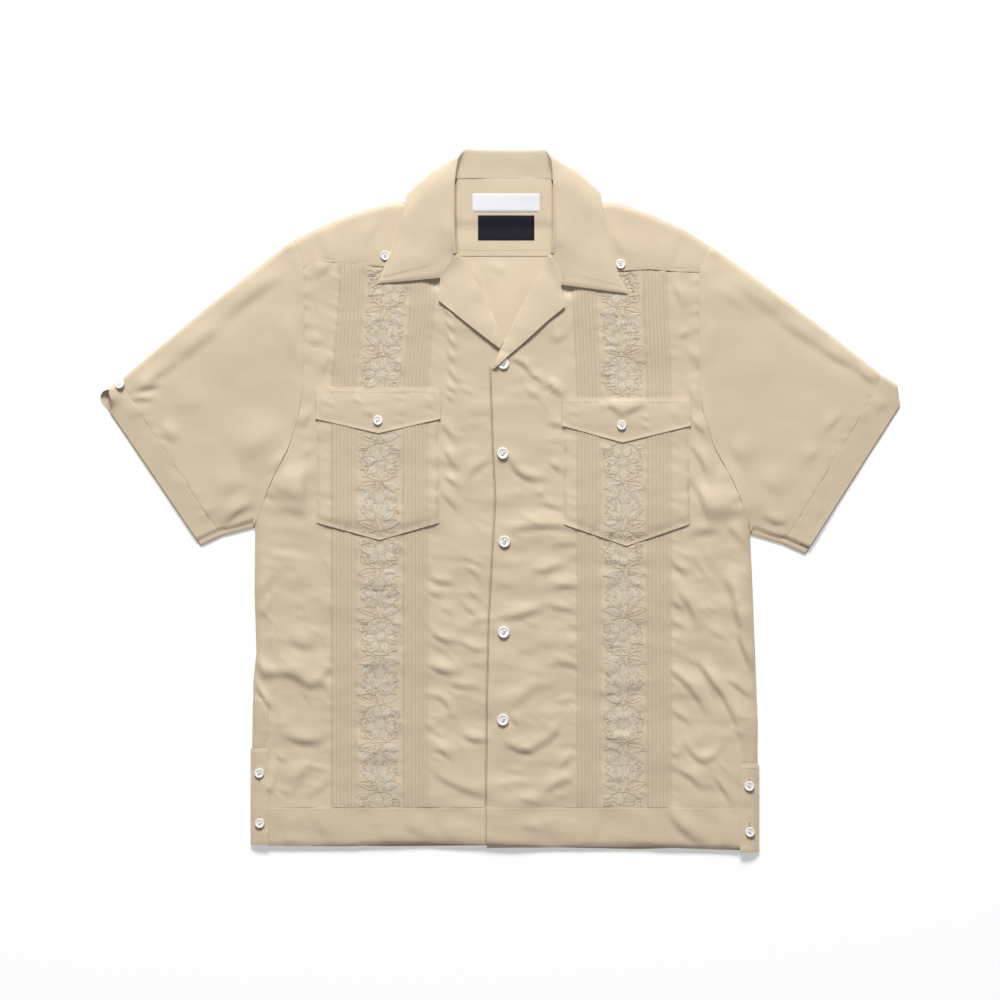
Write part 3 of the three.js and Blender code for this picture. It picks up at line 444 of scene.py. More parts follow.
# Folds: from (x0, y0) to (x1, y1) along the foot of the fold, bowed by bend, with a ridge above the
# foot that is width across and rise high. All in millimetres.
FRONT_FOLDS = (
    # x0, y0, x1, y1, bend, width, rise: wearer's right side panel
    (-242, -78, -264, -108, 0, 18, 2.6), (-246, -106, -256, -128, 0, 12, 1.6),
    (-228, -150, -202, -158, -3, 16, 2.0), (-256, -192, -242, -186, 0, 17, 2.4),
    (-244, -188, -206, -202, 5, 18, 3.4), (-206, -202, -184, -181, -4, 13, 2.4),
    (-197, -205, -184, -198, 0, 8, 1.2), (-265, -166, -259, -190, 0, 7, 2.6),
    (-264, -201, -251, -223, 0, 7, 3.2), (-242, -216, -242, -280, 3, 9, 1.2),
    (-230, -257, -190, -259, -4, 13, 2.6), (-199, -281, -221, -313, 3, 13, 1.3),
    (-182, -304, -206, -320, 0, 9, 1.1), (-240, -294, -247, -315, 0, 8, 1.0),
    # between the inner band and the placket, wearer's right
    (-78, -84, -52, -90, -2, 9, 1.8), (-78, -100, -65, -105, 0, 7, 1.0), (-39, -73, -24, -84, 1, 8, 1.2),
    (-37, -97, -24, -106, 0, 8, 1.1), (-65, -117, -54, -123, 0, 8, 1.0), (-42, -114, -26, -125, 0, 9, 1.1),
    (-31, -136, -14, -131, 2, 8, 1.2), (-76, -144, -44, -153, -3, 10, 1.9), (-42, -155, -14, -162, -3, 9, 1.5),
    (-76, -179, -46, -187, -3, 10, 1.9), (-57, -198, -26, -202, -2, 9, 1.3), (-77, -211, -55, -235, 7, 9, 1.4),
    (-42, -254, -14, -260, -2, 10, 1.9), (-75, -269, -55, -278, 2, 10, 1.9),
    (-75, -293, -16, -319, -4, 12, 1.4),
    # wearer's left, placket to inner band
    (36, -77, 62, -72, -2, 10, 1.5), (56, -97, 85, -97, 3, 9, 2.0), (6, -128, 45, -117, -2, 11, 2.2),
    (51, -114, 84, -119, -2, 9, 1.5), (71, -158, 82, -157, 0, 8, 1.0), (51, -179, 81, -181, 3, 9, 1.4),
    (10, -226, 45, -196, 0, 16, 1.4), (62, -220, 79, -216, 0, 8, 1.0), (10, -233, 19, -244, 0, 9, 1.0),
    (8, -265, 46, -263, -7, 11, 2.4), (46, -263, 65, -241, -3, 10, 1.6), (64, -289, 79, -278, 0, 9, 1.2),
    (49, -315, 79, -302, 2, 10, 1.9), (21, -324, 43, -328, 0, 8, 1.0),
    # wearer's left side panel
    (185, -69, 200, -82, 0, 9, 1.5), (192, -100, 210, -136, 3, 14, 2.7), (214, -176, 230, -212, 2, 12, 2.4),
    (185, -112, 196, -118, 0, 7, 1.2), (185, -131, 196, -138, 0, 7, 1.1), (240, -82, 254, -110, 1, 17, 3.2),
    (250, -106, 260, -150, 1, 16, 5.0), (255, -146, 270, -184, 1, 13, 4.0), (183, -185, 218, -226, 4, 11, 2.2),
    (220, -185, 257, -252, 4, 11, 2.2), (244, -194, 270, -213, 0, 9, 1.4), (183, -226, 203, -241, 0, 9, 1.3),
    (200, -265, 239, -267, -16, 12, 2.0), (187, -291, 215, -310, 3, 11, 1.9), (231, -300, 248, -326, 0, 9, 1.7),
    (183, -269, 190, -278, 0, 7, 1.1),
    # around the pockets and armpits
    (-202, 96, -214, 78, 0, 9, 1.2), (-202, 58, -208, 46, 0, 7, 1.0), (-242, -8, -209, -17, 2, 17, 1.5),
    (-248, 9, -208, 1, 1, 30, 4.8), (-250, 30, -226, 54, -3, 14, 1.5), (-209, 31, -211, -12, 2, 12, 1.5),
    (-60, 114, -52, 106, 0, 8, 1.1), (-62, 82, -51, 62, 0, 9, 1.3), (-61, 55, -51, 35, 0, 9, 1.8),
    (-60, 25, -49, 15, 0, 8, 1.7), (-63, 8, -49, -10, 0, 9, 1.4), (-35, 22, -13, 41, 2, 10, 1.6),
    (29, 113, 41, 112, 0, 9, 1.2), (51, 126, 66, 113, 0, 9, 1.4), (51, 82, 70, 78, 0, 8, 1.5),
    (9, 44, 47, 23, -9, 11, 2.2), (51, 40, 66, 30, 0, 9, 1.3), (37, 5, 47, 5, 0, 8, 1.1),
    (43, -4, 68, -11, 0, 8, 1.2), (9, -35, 80, -33, 5, 11, 2.0), (54, -51, 84, -51, 2, 9, 1.4),
    (205, 87, 219, 70, 0, 9, 1.3), (205, 58, 223, 21, 3, 11, 2.0), (205, 21, 223, -23, 3, 12, 2.1),
    (214, -15, 262, -12, -1, 29, 4.8), (206, -37, 232, -33, 0, 13, 1.7), (246, -30, 262, -52, 2, 14, 1.8),
    # upper fronts
    (-56, 207, -54, 137, -3, 12, 1.3), (-62, 207, -54, 196, 0, 6, 1.5), (-59, 192, -52, 182, 0, 6, 1.4),
    (-58, 176, -52, 164, 1, 6, 1.6), (-57, 158, -51, 149, 0, 6, 1.3), (-57, 141, -49, 128, 0, 7, 1.6),
    (-59, 122, -49, 116, 0, 7, 1.5), (-209, 169, -192, 169, 0, 8, 1.0), (-190, 135, -184, 156, 0, 8, 1.0),
    (-198, 241, -183, 252, 0, 9, 1.4), (9, 151, 33, 134, 4, 9, 1.9), (33, 134, 44, 128, 0, 6, 1.6),
    (47, 129, 62, 121, 0, 5, 1.4), (46, 124, 66, 112, 0, 6, 1.8), (52, 184, 72, 178, -9, 13, 1.1),
    (183, 234, 195, 206, 2, 10, 1.6), (192, 176, 202, 176, 0, 8, 1.0), (199, 163, 212, 147, 0, 9, 1.1),
    (198, 125, 212, 101, 0, 10, 1.1),
)


# Short creases strewn over parts of the fronts, mostly lying one way.
SMALL_FOLDS = []
for seed, (count, left, right, foot, top, angle, spread, rise) in enumerate((
    (46, -76, -18, -325, -60, -14, 16, 0.75), (20, -62, -12, -60, 130, -20, 24, 0.5),
    (40, 0, 78, -325, -60, 10, 18, 0.7), (22, 6, 62, -60, 130, -12, 26, 0.6),
    (34, -262, -186, -325, -60, -8, 34, 0.8), (36, 186, 272, -325, -60, -45, 24, 0.9),
    (12, -205, -60, 130, 235, -10, 30, 0.4), (16, 20, 210, 120, 235, -25, 30, 0.45),
    (60, -156, -106, -325, 250, 0, 16, 0.5), (60, 108, 160, -325, 245, 0, 16, 0.5),
), 1):
    draw = random.Random(seed)
    for _ in range(count):
        x, y = draw.uniform(left, right), draw.uniform(foot, top)
        turn = math.radians(draw.gauss(angle, spread))
        half = draw.uniform(5, 15)
        dx, dy = half * math.cos(turn), half * math.sin(turn)
        bend, width = draw.uniform(-2, 2), draw.uniform(3.8, 8.0)
        SMALL_FOLDS.append((x - dx, y - dy, x + dx, y + dy, bend, width, rise * draw.uniform(0.4, 1.2)))


def pucker_heights(x, y, line, spacing, reach, rise, seed, slant=0.0):
    """Small gathers that run away from a line of stitching."""
    away, along = near_line(x, y, line)
    wave = soft_noise(along + slant * away, away * 0.2, spacing, 30.0, seed)
    return rise * wave * np.exp(-((away / reach) ** 1.5))


def band_edges():
    for start in TUCK_STARTS:
        for s in (start, start + BAND):
            ys = np.arange(HEM_SEAM_Y, 260, 6.0)
            yield np.column_stack([lean_x(np.full(ys.shape, s), ys), ys])


def in_tucks(s):
    """1 inside a band of tucks, 0 outside."""
    found = np.zeros(np.shape(s))
    for start in TUCK_STARTS:
        found = np.maximum(found, smooth(s, start - 3, start + 2) * (1 - smooth(s, start + BAND - 2, start + BAND + 3)))
    return found


def tuck_profile(s):
    """Each tuck is a small fold pressed to one side: it steps up, then slopes down to the next."""
    height = np.zeros(np.shape(s))
    for start in TUCK_STARTS:
        share = (s - start) / TUCK_PITCH
        within = (share > 0) & (share < TUCKS)
        part = share % 1
        height = np.where(within, np.where(part < TUCK_STEP, part / TUCK_STEP, (1 - part) / (1 - TUCK_STEP)), height)
    return height


def tuck_shaded_cloth():
    """The same twill with painted shade: a little darker across the bands of tucks, darker in a line along each tuck's
    foot, and much darker in the crease beside a lapped edge.
    """
    material = cloth_material("tan rayon twill, tucked", CLOTH_COLOUR)
    t = material.node_tree
    shader = t.nodes["Principled BSDF"]
    plain = shader.inputs["Base Color"].links[0].from_socket
    tucked = node(t, "ShaderNodeAttribute", attribute_name="tucked")
    # Painted shade: the colour darkens by 11 % for each unit of the attribute.
    shade = node(t, "ShaderNodeMath", {0: tucked.outputs["Fac"], 1: -0.11, 2: 1.0}, operation="MULTIPLY_ADD")
    deeper = node(t, "ShaderNodeVectorMath", {0: plain, "Scale": shade.outputs[0]}, operation="SCALE")
    t.links.new(deeper.outputs[0], shader.inputs["Base Color"])
    return material


TUCK_SHADED_CLOTH = tuck_shaded_cloth()


def paint_tuck_shade(made, crease=None, tucks=TUCKS):
    """Write onto each point of a piece how much painted shade it takes: across the bands of tucks, along each tuck's
    foot, and as painted shadow in the crease beside a lapped edge.
    """
    place = np.array([v.co[:2] for v in made.data.vertices]) / MM
    s = unlean(place[:, 0], place[:, 1])
    painted_shade = 0.45 * in_tucks(s) if tucks else np.zeros(len(s))
    for start in TUCK_STARTS:
        for k in range(tucks + 1 if tucks else 0):
            painted_shade = np.maximum(painted_shade, 1 - np.clip(np.abs(s - start - k * TUCK_PITCH) / 0.5, 0, 1))
    if crease is not None:
        painted_shade = np.maximum(painted_shade, 3.2 * falloff(near_line(place[:, 0] + 0.8, place[:, 1], crease)[0], 0.9))
    made.data.attributes.new("tucked", "FLOAT", "POINT").data.foreach_set("value", painted_shade.astype(np.float32))


def side_x(sign, y):
    line = np.array(RIGHT_SIDE if sign < 0 else LEFT_SIDE)[::-1]
    return np.interp(y, line[:, 1], line[:, 0])


def front_base(x, y):
    """The fronts' height without folds: nearly level, rolled down to the back at the side seams."""
    away = np.where(x < 0, x - side_x(-1, y), side_x(1, y) - x)
    t = np.clip(away / EDGE_ROUND, 0, 1)
    rolled = 1 - (1 - rounded(t)) * (1 - smooth(y, -45, 5))
    slow = 0.6 * soft_noise(x, y, 90, 70, 3) + 0.45 * soft_noise(x + 0.6 * y, y, 60, 34, 5)
    return SEAM_RISE + (BODY_RISE - SEAM_RISE) * rolled, rolled * slow, rolled


def crumple(x, y):
    """The soft unevenness of laid rayon: short slack waves that run mostly across the body."""
    warp = 9 * soft_noise(x, y, 60, 45, 7)
    long = soft_noise(x + 0.5 * y + warp, y + 0.6 * warp, 46, 17, 9)
    steep = soft_noise(x - 0.9 * y - warp, y + warp, 38, 19, 13)
    short = soft_noise(x + 0.3 * y, y + 0.5 * warp, 21, 8, 11)
    return 0.62 * long + 0.46 * steep + 0.24 * short


def front_height(x, y, relief=1.0):
    """The outer face of both fronts, without tucks or lap."""
    base, slow, rolled = front_base(x, y)
    s = unlean(x, y)
    calm = 1 - 0.6 * in_tucks(s)
    relief = relief * (1 - 0.6 * smooth(y, 222, 246) * (1 - smooth(np.abs(x), 128, 150)))
    folds = (1.1 * fold_heights(x, y, FRONT_FOLDS) + 0.85 * fold_heights(x, y, SMALL_FOLDS)) * calm
    lower = smooth(-y, -190, 80)
    fine = crumple(x, y) * (0.55 + 0.5 * lower)
    gathers = np.zeros(x.shape)
    for k, line in enumerate(band_edges()):
        gathers += pucker_heights(x, y, line, 5.0, 8.0, 0.6, 30 + k, slant=0.35 if k % 2 else -0.35)
    gathers *= 1 - 0.7 * in_tucks(s)
    # Two hollows under the collar's edge, beside the lapels.
    hollow = 2.8 * sum(np.exp(-(((x - cx) / 8) ** 2) - ((y - cy) / 6) ** 2) for cx, cy in ((-71, 234), (73, 227)))
    return base + slow + relief * rolled * (folds + fine * calm + gathers) - hollow


LAP_FROM, LAP_TO = 14.0, 60.0


def lap(x):
    """How much higher the wearer's left front lies where it laps the right one."""
    return 1.2 * (1 - smooth(x, LAP_FROM, LAP_TO))


def edge_dip(x, y, line, depth, reach):
    return depth * falloff(near_line(x, y, line)[0], reach)


def tuck_columns(low, high, step):
    """Lattice columns: regular between the bands, and on each tuck's foot, crest and slope."""
    columns = []
    for start in TUCK_STARTS:
        for k in range(TUCKS):
            columns += [start + (k + part) * TUCK_PITCH for part in (0.0, TUCK_STEP, 0.42, 0.72)]
        columns.append(start + BAND)
    columns += list(np.arange(-20.0, -2.0, 1.1))
    taken = np.array(columns)
    plain = [s for s in np.arange(low, high, step) if np.min(np.abs(taken - s)) > 0.6 * step]
    return sorted(columns + plain)


RIGHT_YOKE_SEAM = [(-211.8, 251), (-200.3, 257.2), (-167.9, 256.2), (-117.2, 251), (-58, 250)]
LEFT_YOKE_SEAM = [(214.2, 246), (204.7, 245.7), (161.5, 248.9), (131.2, 247), (66, 249)]
RIGHT_ROLL = [(-47, 266), (-38.3, 261), (-16, 215), (4.5, 172.6)]
LEFT_ROLL = [(53, 266), (47, 256), (20, 206.8), (-9.7, 140.9)]
FRONT_EDGE = [(-9.7, 140.9), (-7, 54.5), (-4.2, 0.5), (-11.4, -129), (-13.4, -215), (-14.4, -331)]
GRID = 3.2
LATTICE_HALF = 300


def front_panel(name, outline, lapping, seams):
    def face(x, y):
        z = front_height(x, y) + TUCK_RISE * tuck_profile(unlean(x, y))
        if lapping:
            z = z + lap(x) - edge_dip(x, y, FRONT_EDGE, 0.3, 1.6)
        else:
            z = z - edge_dip(x + 1.1, y, FRONT_EDGE, 1.6, 1.1)
        for line in seams:
            z = z - edge_dip(x, y, line, 0.25, 1.3)
            z = z + pucker_heights(x, y, line, 6.5, 11, 0.6, 71, slant=0.2)
        return z

    columns = tuck_columns(-LATTICE_HALF, LATTICE_HALF, GRID)
    made = cut_piece(name, outline, face, TUCK_SHADED_CLOTH, GRID, 3.4, columns, lean_x, edge_step=2.6)
    # Painted shade on the tucks; on the underlapping front also a painted shadow beside the lapped edge.
    paint_tuck_shade(made, None if lapping else FRONT_EDGE)
    return made


right_front = front_panel(
    "right_front",
    RIGHT_YOKE_SEAM + RIGHT_ROLL + [(14, 165), (14, HEM_SEAM_Y)] + RIGHT_SIDE[::-1] + RIGHT_ARMHOLE[1:-1],
    False, [RIGHT_YOKE_SEAM, RIGHT_ARMHOLE],
)
left_front = front_panel(
    "left_front",
    FRONT_EDGE[::-1] + LEFT_ROLL[::-1][1:] + LEFT_YOKE_SEAM[::-1] + LEFT_ARMHOLE[::-1][1:-1] + LEFT_SIDE,
    True, [LEFT_YOKE_SEAM, LEFT_ARMHOLE],
)

FRONT_EDGE_LINE = np.array(FRONT_EDGE[::-1])


def outer_face(x, y):
    """Height of the uppermost front at each place, with its tucks and lap."""
    x, y = np.asarray(x, float), np.asarray(y, float)
    edge = np.interp(y, FRONT_EDGE_LINE[:, 1], FRONT_EDGE_LINE[:, 0])
    return front_height(x, y) + TUCK_RISE * tuck_profile(unlean(x, y)) + np.where(x > edge, lap(x), 0)


def stitch_tree():
    """Stitches of thread laid end to end along every line of a mesh."""
    tree = bpy.data.node_groups.new("lines of stitches", "GeometryNodeTree")
    sockets = {}
    for label, kind in (
        ("Lines", "NodeSocketGeometry"), ("Pitch", "NodeSocketFloat"), ("Stitch length", "NodeSocketFloat"),
        ("Thread width", "NodeSocketFloat"), ("Seed", "NodeSocketInt"), ("Thread", "NodeSocketMaterial"),
    ):
        sockets[label] = tree.interface.new_socket(label, in_out="INPUT", socket_type=kind).identifier
    tree.interface.new_socket("Stitches", in_out="OUTPUT", socket_type="NodeSocketGeometry")
    start, end = tree.nodes.new("NodeGroupInput"), tree.nodes.new("NodeGroupOutput")
    lines = node(tree, "GeometryNodeMeshToCurve", {"Mesh": start.outputs["Lines"]})
    spacing = {"Curve": lines.outputs["Curve"], "Length": start.outputs["Pitch"]}
    spaced = node(tree, "GeometryNodeResampleCurve", spacing, mode="LENGTH")
    bead = node(tree, "GeometryNodeMeshUVSphere", {"Segments": 6, "Rings": 4, "Radius": 0.5})
    flat = node(tree, "ShaderNodeMath", {0: start.outputs["Thread width"], 1: 0.7}, operation="MULTIPLY")
    sizes = {0: start.outputs["Stitch length"], 1: start.outputs["Thread width"], 2: flat.outputs[0]}
    size = node(tree, "ShaderNodeCombineXYZ", sizes)
    uneven = node(tree, "FunctionNodeRandomValue", {"Seed": start.outputs["Seed"]}, data_type="FLOAT_VECTOR")
    uneven.inputs[0].default_value = (0.86, 0.9, 0.9)
    uneven.inputs[1].default_value = (1.04, 1.1, 1.1)
    scale = node(tree, "ShaderNodeVectorMath", {0: size.outputs[0], 1: uneven.outputs[0]}, operation="MULTIPLY")
    way = node(tree, "GeometryNodeInputTangent")
    turn = node(tree, "FunctionNodeAlignRotationToVector", {"Vector": way.outputs[0]}, axis="X")
    beads = node(tree, "GeometryNodeInstanceOnPoints", {
        "Points": spaced.outputs["Curve"], "Instance": bead.outputs["Mesh"],
        "Rotation": turn.outputs[0], "Scale": scale.outputs[0],
    })
    whole = node(tree, "GeometryNodeRealizeInstances", {"Geometry": beads.outputs[0]})
    dyed = node(tree, "GeometryNodeSetMaterial", {"Geometry": whole.outputs[0], "Material": start.outputs["Thread"]})
    tree.links.new(dyed.outputs[0], end.inputs["Stitches"])
    return tree, sockets


STITCH_TREE, STITCH_SOCKETS = stitch_tree()
THREAD = cloth_material("tan polyester thread", (0.62, 0.52, 0.385), roughness=0.45, sheen=0.0, bump=0.0)


def stitched(name, lines, pitch=2.9, length=2.3, width=0.5, seed=1, thread=THREAD):
    """A piece of stitching along lines of points in millimetres."""
    points, edges = [], []
    for line in lines:
        first = len(points)
        points += [tuple(p * MM for p in q) for q in line]
        edges += [(i, i + 1) for i in range(first, len(points) - 1)]
    mesh = bpy.data.meshes.new(name)
    mesh.from_pydata(points, edges, [])
    made = put_object(name, mesh)
    sewing = made.modifiers.new("stitches", "NODES")
    sewing.node_group = STITCH_TREE
    for label, value in (
        ("Pitch", pitch * MM), ("Stitch length", length * MM), ("Thread width", width * MM),
        ("Seed", seed), ("Thread", thread),
    ):
        sewing[STITCH_SOCKETS[label]] = value
    sewn = bpy.data.meshes.new_from_object(made.evaluated_get(bpy.context.evaluated_depsgraph_get()))
    made.modifiers.remove(sewing)
    made.data = sewn
    sewn.shade_smooth()
    return finish_piece(made)


def laid(line, face, lift=0.12, step=2.0):
    """A flat line put on a face, a little proud of it."""
    line = resampled(line, step)
    return np.column_stack([line, face(line[:, 0], line[:, 1]) + lift])


def inset(line, by):
    """A line moved sideways, to its left for a positive distance."""
    p = np.asarray(line, float)
    way = np.gradient(p, axis=0)
    way /= np.linalg.norm(way, axis=1, keepdims=True)
    return p + by * np.column_stack([-way[:, 1], way[:, 0]])


def declare_sheet(made, outline, **more):
    """Takes the outline as an array and does nothing more with it."""
    p = np.asarray(outline, float)


declare_sheet(back, back_outline, rests_on=["tabletop"])
placket_stitches = stitched("placket_stitches", [laid(inset(resampled(FRONT_EDGE, 4), -1.8), outer_face)], seed=3)

# ---------------------------------------------------------------- Hem bands
# A straight band of plain twill is sewn under each front, doubled, and topstitched along the seam. The
# tucks end in that seam.
RIGHT_HEM = [(-250.5, -331), (-250.5, -372.5), (-164, -373.2), (-80, -370.4), (14, -371.5), (14, -331)]
LEFT_HEM = [(-14.4, -331), (-14.6, -375), (107, -374), (160, -374), (258.5, -377.5), (258.5, -331)]
HEM_FOOT = 3.4
HEM_FOLDS = (
    (-236, -342, -232, -372, 0, 15, 0.9), (-205, -338, -188, -372, 2, 18, 0.9),
    (-140, -345, -118, -374, 0, 20, 0.8), (-70, -340, -52, -372, 0, 16, 0.8), (40, -336, 62, -372, 0, 18, 0.8),
    (110, -340, 96, -374, 0, 18, 0.7), (182, -338, 214, -368, -3, 16, 2.6), (-104, -352, -78, -362, 0, 16, 1.0),
    (20, -350, 44, -358, 0, 14, 0.8), (234, -336, 238, -374, 0, 12, 0.8),
)


def band_face(x, y, lapped=True):
    """The bands lie on with the fronts, calmer, and drop to the table along the hem."""
    x, y = np.asarray(x, float), np.asarray(y, float)
    hem = np.interp(x, [-165, -80, 14, 107, 160, 258], [-373.3, -370.4, -374.5, -374, -374, -377.5])
    t = np.clip((y - hem) / 9, 0, 1)
    z = front_height(x, y, relief=0.75) + (1.6 * lap(x) / 1.2 if lapped else 0) + 0.05
    z = z - 0.25 * falloff(y + 331.5, 1.0)
    z = z + 0.35 * soft_noise(x, y * 0.4, 19, 30, 41) * falloff(y + 331, 14) + fold_heights(x, y, HEM_FOLDS)
    return z - (z - HEM_FOOT) * (1 - rounded(t))


for side, outline in (("right", RIGHT_HEM), ("left", LEFT_HEM)):
    def face(x, y, lapped=side == "left"):
        return band_face(x, y, lapped)

    columns = tuck_columns(-LATTICE_HALF, LATTICE_HALF, 3.4)
    band = cut_piece(f"{side}_hem_band", outline, face, TUCK_SHADED_CLOTH, 3.4, 3.0, columns, edge_step=2.6)
    # Painted shadow beside the lapped edge of the left band, on the right band only.
    paint_tuck_shade(band, [(-14.4, -331), (-14.6, -375)] if side == "right" else None, tucks=0)
    low, high = min(p[0] for p in outline), max(p[0] for p in outline)
    seam = laid([(low + 0.6, -333.4), (high - 0.6, -333.4)], face)
    declare_sheet(band, outline, rests_on=["back"], with_pieces=[stitched(f"{side}_hem_band_stitches", [seam], seed=5)])

# ---------------------------------------------------------------- Side vents
# Below each side seam the front's corner is open. A buttoned placket lies over it, and a short stay of
# doubled twill holds the top of the slit.
VENTS = (
    dict(
        side="right", inner=-250.5, outer=-269.6, top=-267.3, foot=-371.5, stay_top=-214,
        holes=((-260, -299, -303.6), (-259.5, -340.5, -343.4), (-259.5, -352.6, -355)),
    ),
    dict(
        side="left", inner=258.5, outer=279.2, top=-285, foot=-379.5, stay_top=-230.5,
        holes=((268.2, -300.6, -303.4), (268.6, -347.6, -352.6)),
    ),
)
# Buttonhole thread, coloured dark brown as painted shadow in the buttonhole slits.
BUTTONHOLE_SHADOW_THREAD = cloth_material("brown buttonhole thread", (0.13, 0.09, 0.05), roughness=0.6, sheen=0.0, bump=0.0)


def vent_face(x, y):
    return front_height(x, y, relief=0.5) + 0.9


def at_edge(x, y, outline, reach):
    """1 along the outline's edge, falling off inside it."""
    ring = np.vstack([resampled(outline, 2, closed=True), [outline[0]]])
    return falloff(near_line(x, y, ring)[0], reach)


for vent in VENTS:
    side, inner, outer, top = vent["side"], vent["inner"], vent["outer"], vent["top"]
    way = np.sign(outer)
    edge = outer - way * 3.4
    corner = [(inner, HEM_SEAM_Y), (edge, HEM_SEAM_Y), (edge, vent["foot"] + 3), (inner, vent["foot"] + 3)]
    placket = [(inner, top), (outer, top), (outer, vent["foot"]), (inner, vent["foot"])]
    stay = [
        (inner, vent["stay_top"]), (outer - way * 2.5, vent["stay_top"]),
        (outer - way * 1.6, top + 0.4), (inner, top + 0.4),
    ]

    def corner_face(x, y):
        return front_height(x, y, 0.3)

    lower = cut_piece(f"{side}_vent_corner", corner, corner_face, CLOTH, 4, 4, edge_step=3)
    declare_sheet(lower, corner, rests_on=["back"])
    for name, outline, rise, sag in (("placket", placket, 0.4, 0.0), ("stay", stay, -0.5, 1.4)):
        def strip_face(x, y, outline=outline, rise=rise, sag=sag, vent=vent):
            slack = sag * smooth(y, vent["top"], vent["stay_top"]) - 0.35 * at_edge(x, y, outline, 1.4)
            return vent_face(x, y) + rise + slack + 0.3 * soft_noise(x, y, 14, 9, 43)

        strip = cut_piece(f"{side}_vent_{name}", outline, strip_face, CLOTH, 2.0, 2.4, edge_step=2)
        middle = np.mean(outline, axis=0)
        loop = [tuple(middle + away - 3.6 * np.sign(away)) for away in np.array(outline) - middle]
        sewing = [stitched(f"{side}_vent_{name}_stitches", [laid(loop + loop[:1], vent_face, rise + 0.1)], seed=7)]
        if name == "placket":
            # The ends of the buttonholes that show beside the buttons, stitched in dark brown as painted shadow in
            # their slits.
            holes = [laid([(x, head), (x, foot)], vent_face, rise + 0.15, 0.5) for x, head, foot in vent["holes"]]
            sewing.append(stitched(f"{side}_vent_buttonholes", holes, 0.5, 0.5, 0.9, seed=9, thread=BUTTONHOLE_SHADOW_THREAD))
        declare_sheet(strip, outline, rests_on=[f"{side}_vent_corner", f"{side}_front"], with_pieces=sewing)

# ---------------------------------------------------------------- Breast pockets
# A pocket of the same tucked twill is topstitched to each front, matched to its bands, with a pointed
# foot. A plain pointed flap is sewn on above it and buttons down.
POCKETS = (
    dict(
        side="right", left=-198, right=-67, top=118, foot=-24, point=(-130.4, -42.5), flap_foot=88,
        flap_point=(-131.5, 72.5), flap_folds=((-150, 96, -136, 90, 0, 9, 0.5), (-120, 90, -100, 96, 0, 12, 0.5)),
    ),
    dict(
        side="left", left=68, right=203, top=107, foot=-25.5, point=(136, -49), flap_foot=80.5,
        flap_point=(131.5, 62.5), flap_folds=((115, 103, 131, 91, 0, 12, 1.7), (131, 91, 156, 103, 0, 12, 1.7)),
    ),
)
FLAP_HEAD = 4


def pocket_outline(p):
    left, right, top, foot = p["left"], p["right"], p["top"], p["foot"]
    return [(left, top), (left, foot), p["point"], (right + 1, foot), (right, top)]


def flap_outline(p):
    return [
        (p["left"] - 1.2, p["top"] + FLAP_HEAD), (p["left"] - 1.2, p["flap_foot"]), p["flap_point"],
        (p["right"] + 2.2, p["flap_foot"]), (p["right"] + 1.2, p["top"] + FLAP_HEAD),
    ]


def pocket_face(x, y, p, tucked=1.0):
    """Sewn close along its edges, the pocket bags out a little over its foot."""
    outline = pocket_outline(p)
    foot = near_line(x, y, outline[1:4])[0]
    sides = np.minimum(near_line(x, y, outline[0:2])[0], near_line(x, y, outline[3:5])[0])
    bag = 0.2 + 1.5 * smooth(foot, 0.5, 11) * (1 - 0.75 * smooth(foot, 14, 75))
    t = np.clip(sides / 6, 0, 1)
    bag = bag * rounded(t) + 0.1 * t
    z = front_height(x, y, relief=0.8) + TUCK_RISE * tucked * tuck_profile(unlean(x, y))
    z = z + (lap(x) if p["left"] > 0 else 0)
    for line, reach in ((outline[0:2], 9), (outline[1:4], 12), (outline[3:5], 9)):
        z = z + pucker_heights(x, y, line, 7, reach, 0.55, 51)
    return z + 0.4 + bag + 0.7 * falloff(foot, 2.2) * t


def flap_face(x, y, p):
    outline = flap_outline(p)
    head = near_line(x, y, [outline[0], outline[-1]])[0]
    foot = near_line(x, y, outline[1:4])[0]
    z = pocket_face(x, y, p, tucked=0.0) + 0.85
    z = z - 1.0 * falloff(head, 6.0) + 0.35 * falloff(foot, 1.8)
    z = z - 0.12 * falloff(foot - 5, 1.1) + 0.3 * soft_noise(x, y, 34, 17, 57)
    return z + fold_heights(x, y, p["flap_folds"])


for p in POCKETS:
    side = p["side"]

    def on_pocket(x, y, p=p):
        return pocket_face(x, y, p)

    def on_flap(x, y, p=p):
        return flap_face(x, y, p)

    outline = pocket_outline(p)
    columns = tuck_columns(-LATTICE_HALF, LATTICE_HALF, 3.2)
    pocket = cut_piece(f"{side}_pocket", outline, on_pocket, TUCK_SHADED_CLOTH, 3.2, 3.2, columns, lean_x, edge_step=2.4)
    # Painted shade on the pocket's tucks and along their feet.
    paint_tuck_shade(pocket)
    sewn = stitched(f"{side}_pocket_stitches", [laid(inset(resampled(outline, 3), 2.0), on_pocket)], seed=11)
    declare_sheet(pocket, outline, rests_on=[f"{side}_front"], with_pieces=[sewn])

    outline = flap_outline(p)
    flap = cut_piece(f"{side}_flap", outline, on_flap, CLOTH, 2.6, 2.4, edge_step=2.2, thickness=0.8)
    head = [(x, y - 5) for x, y in (outline[0], outline[-1])]
    lines = [laid(inset(resampled(outline, 3), 5.0), on_flap), laid(head, on_flap)]
    sewn = stitched(f"{side}_flap_stitches", lines, seed=13)
    declare_sheet(flap, outline, rests_on=[f"{side}_pocket"], with_pieces=[sewn])

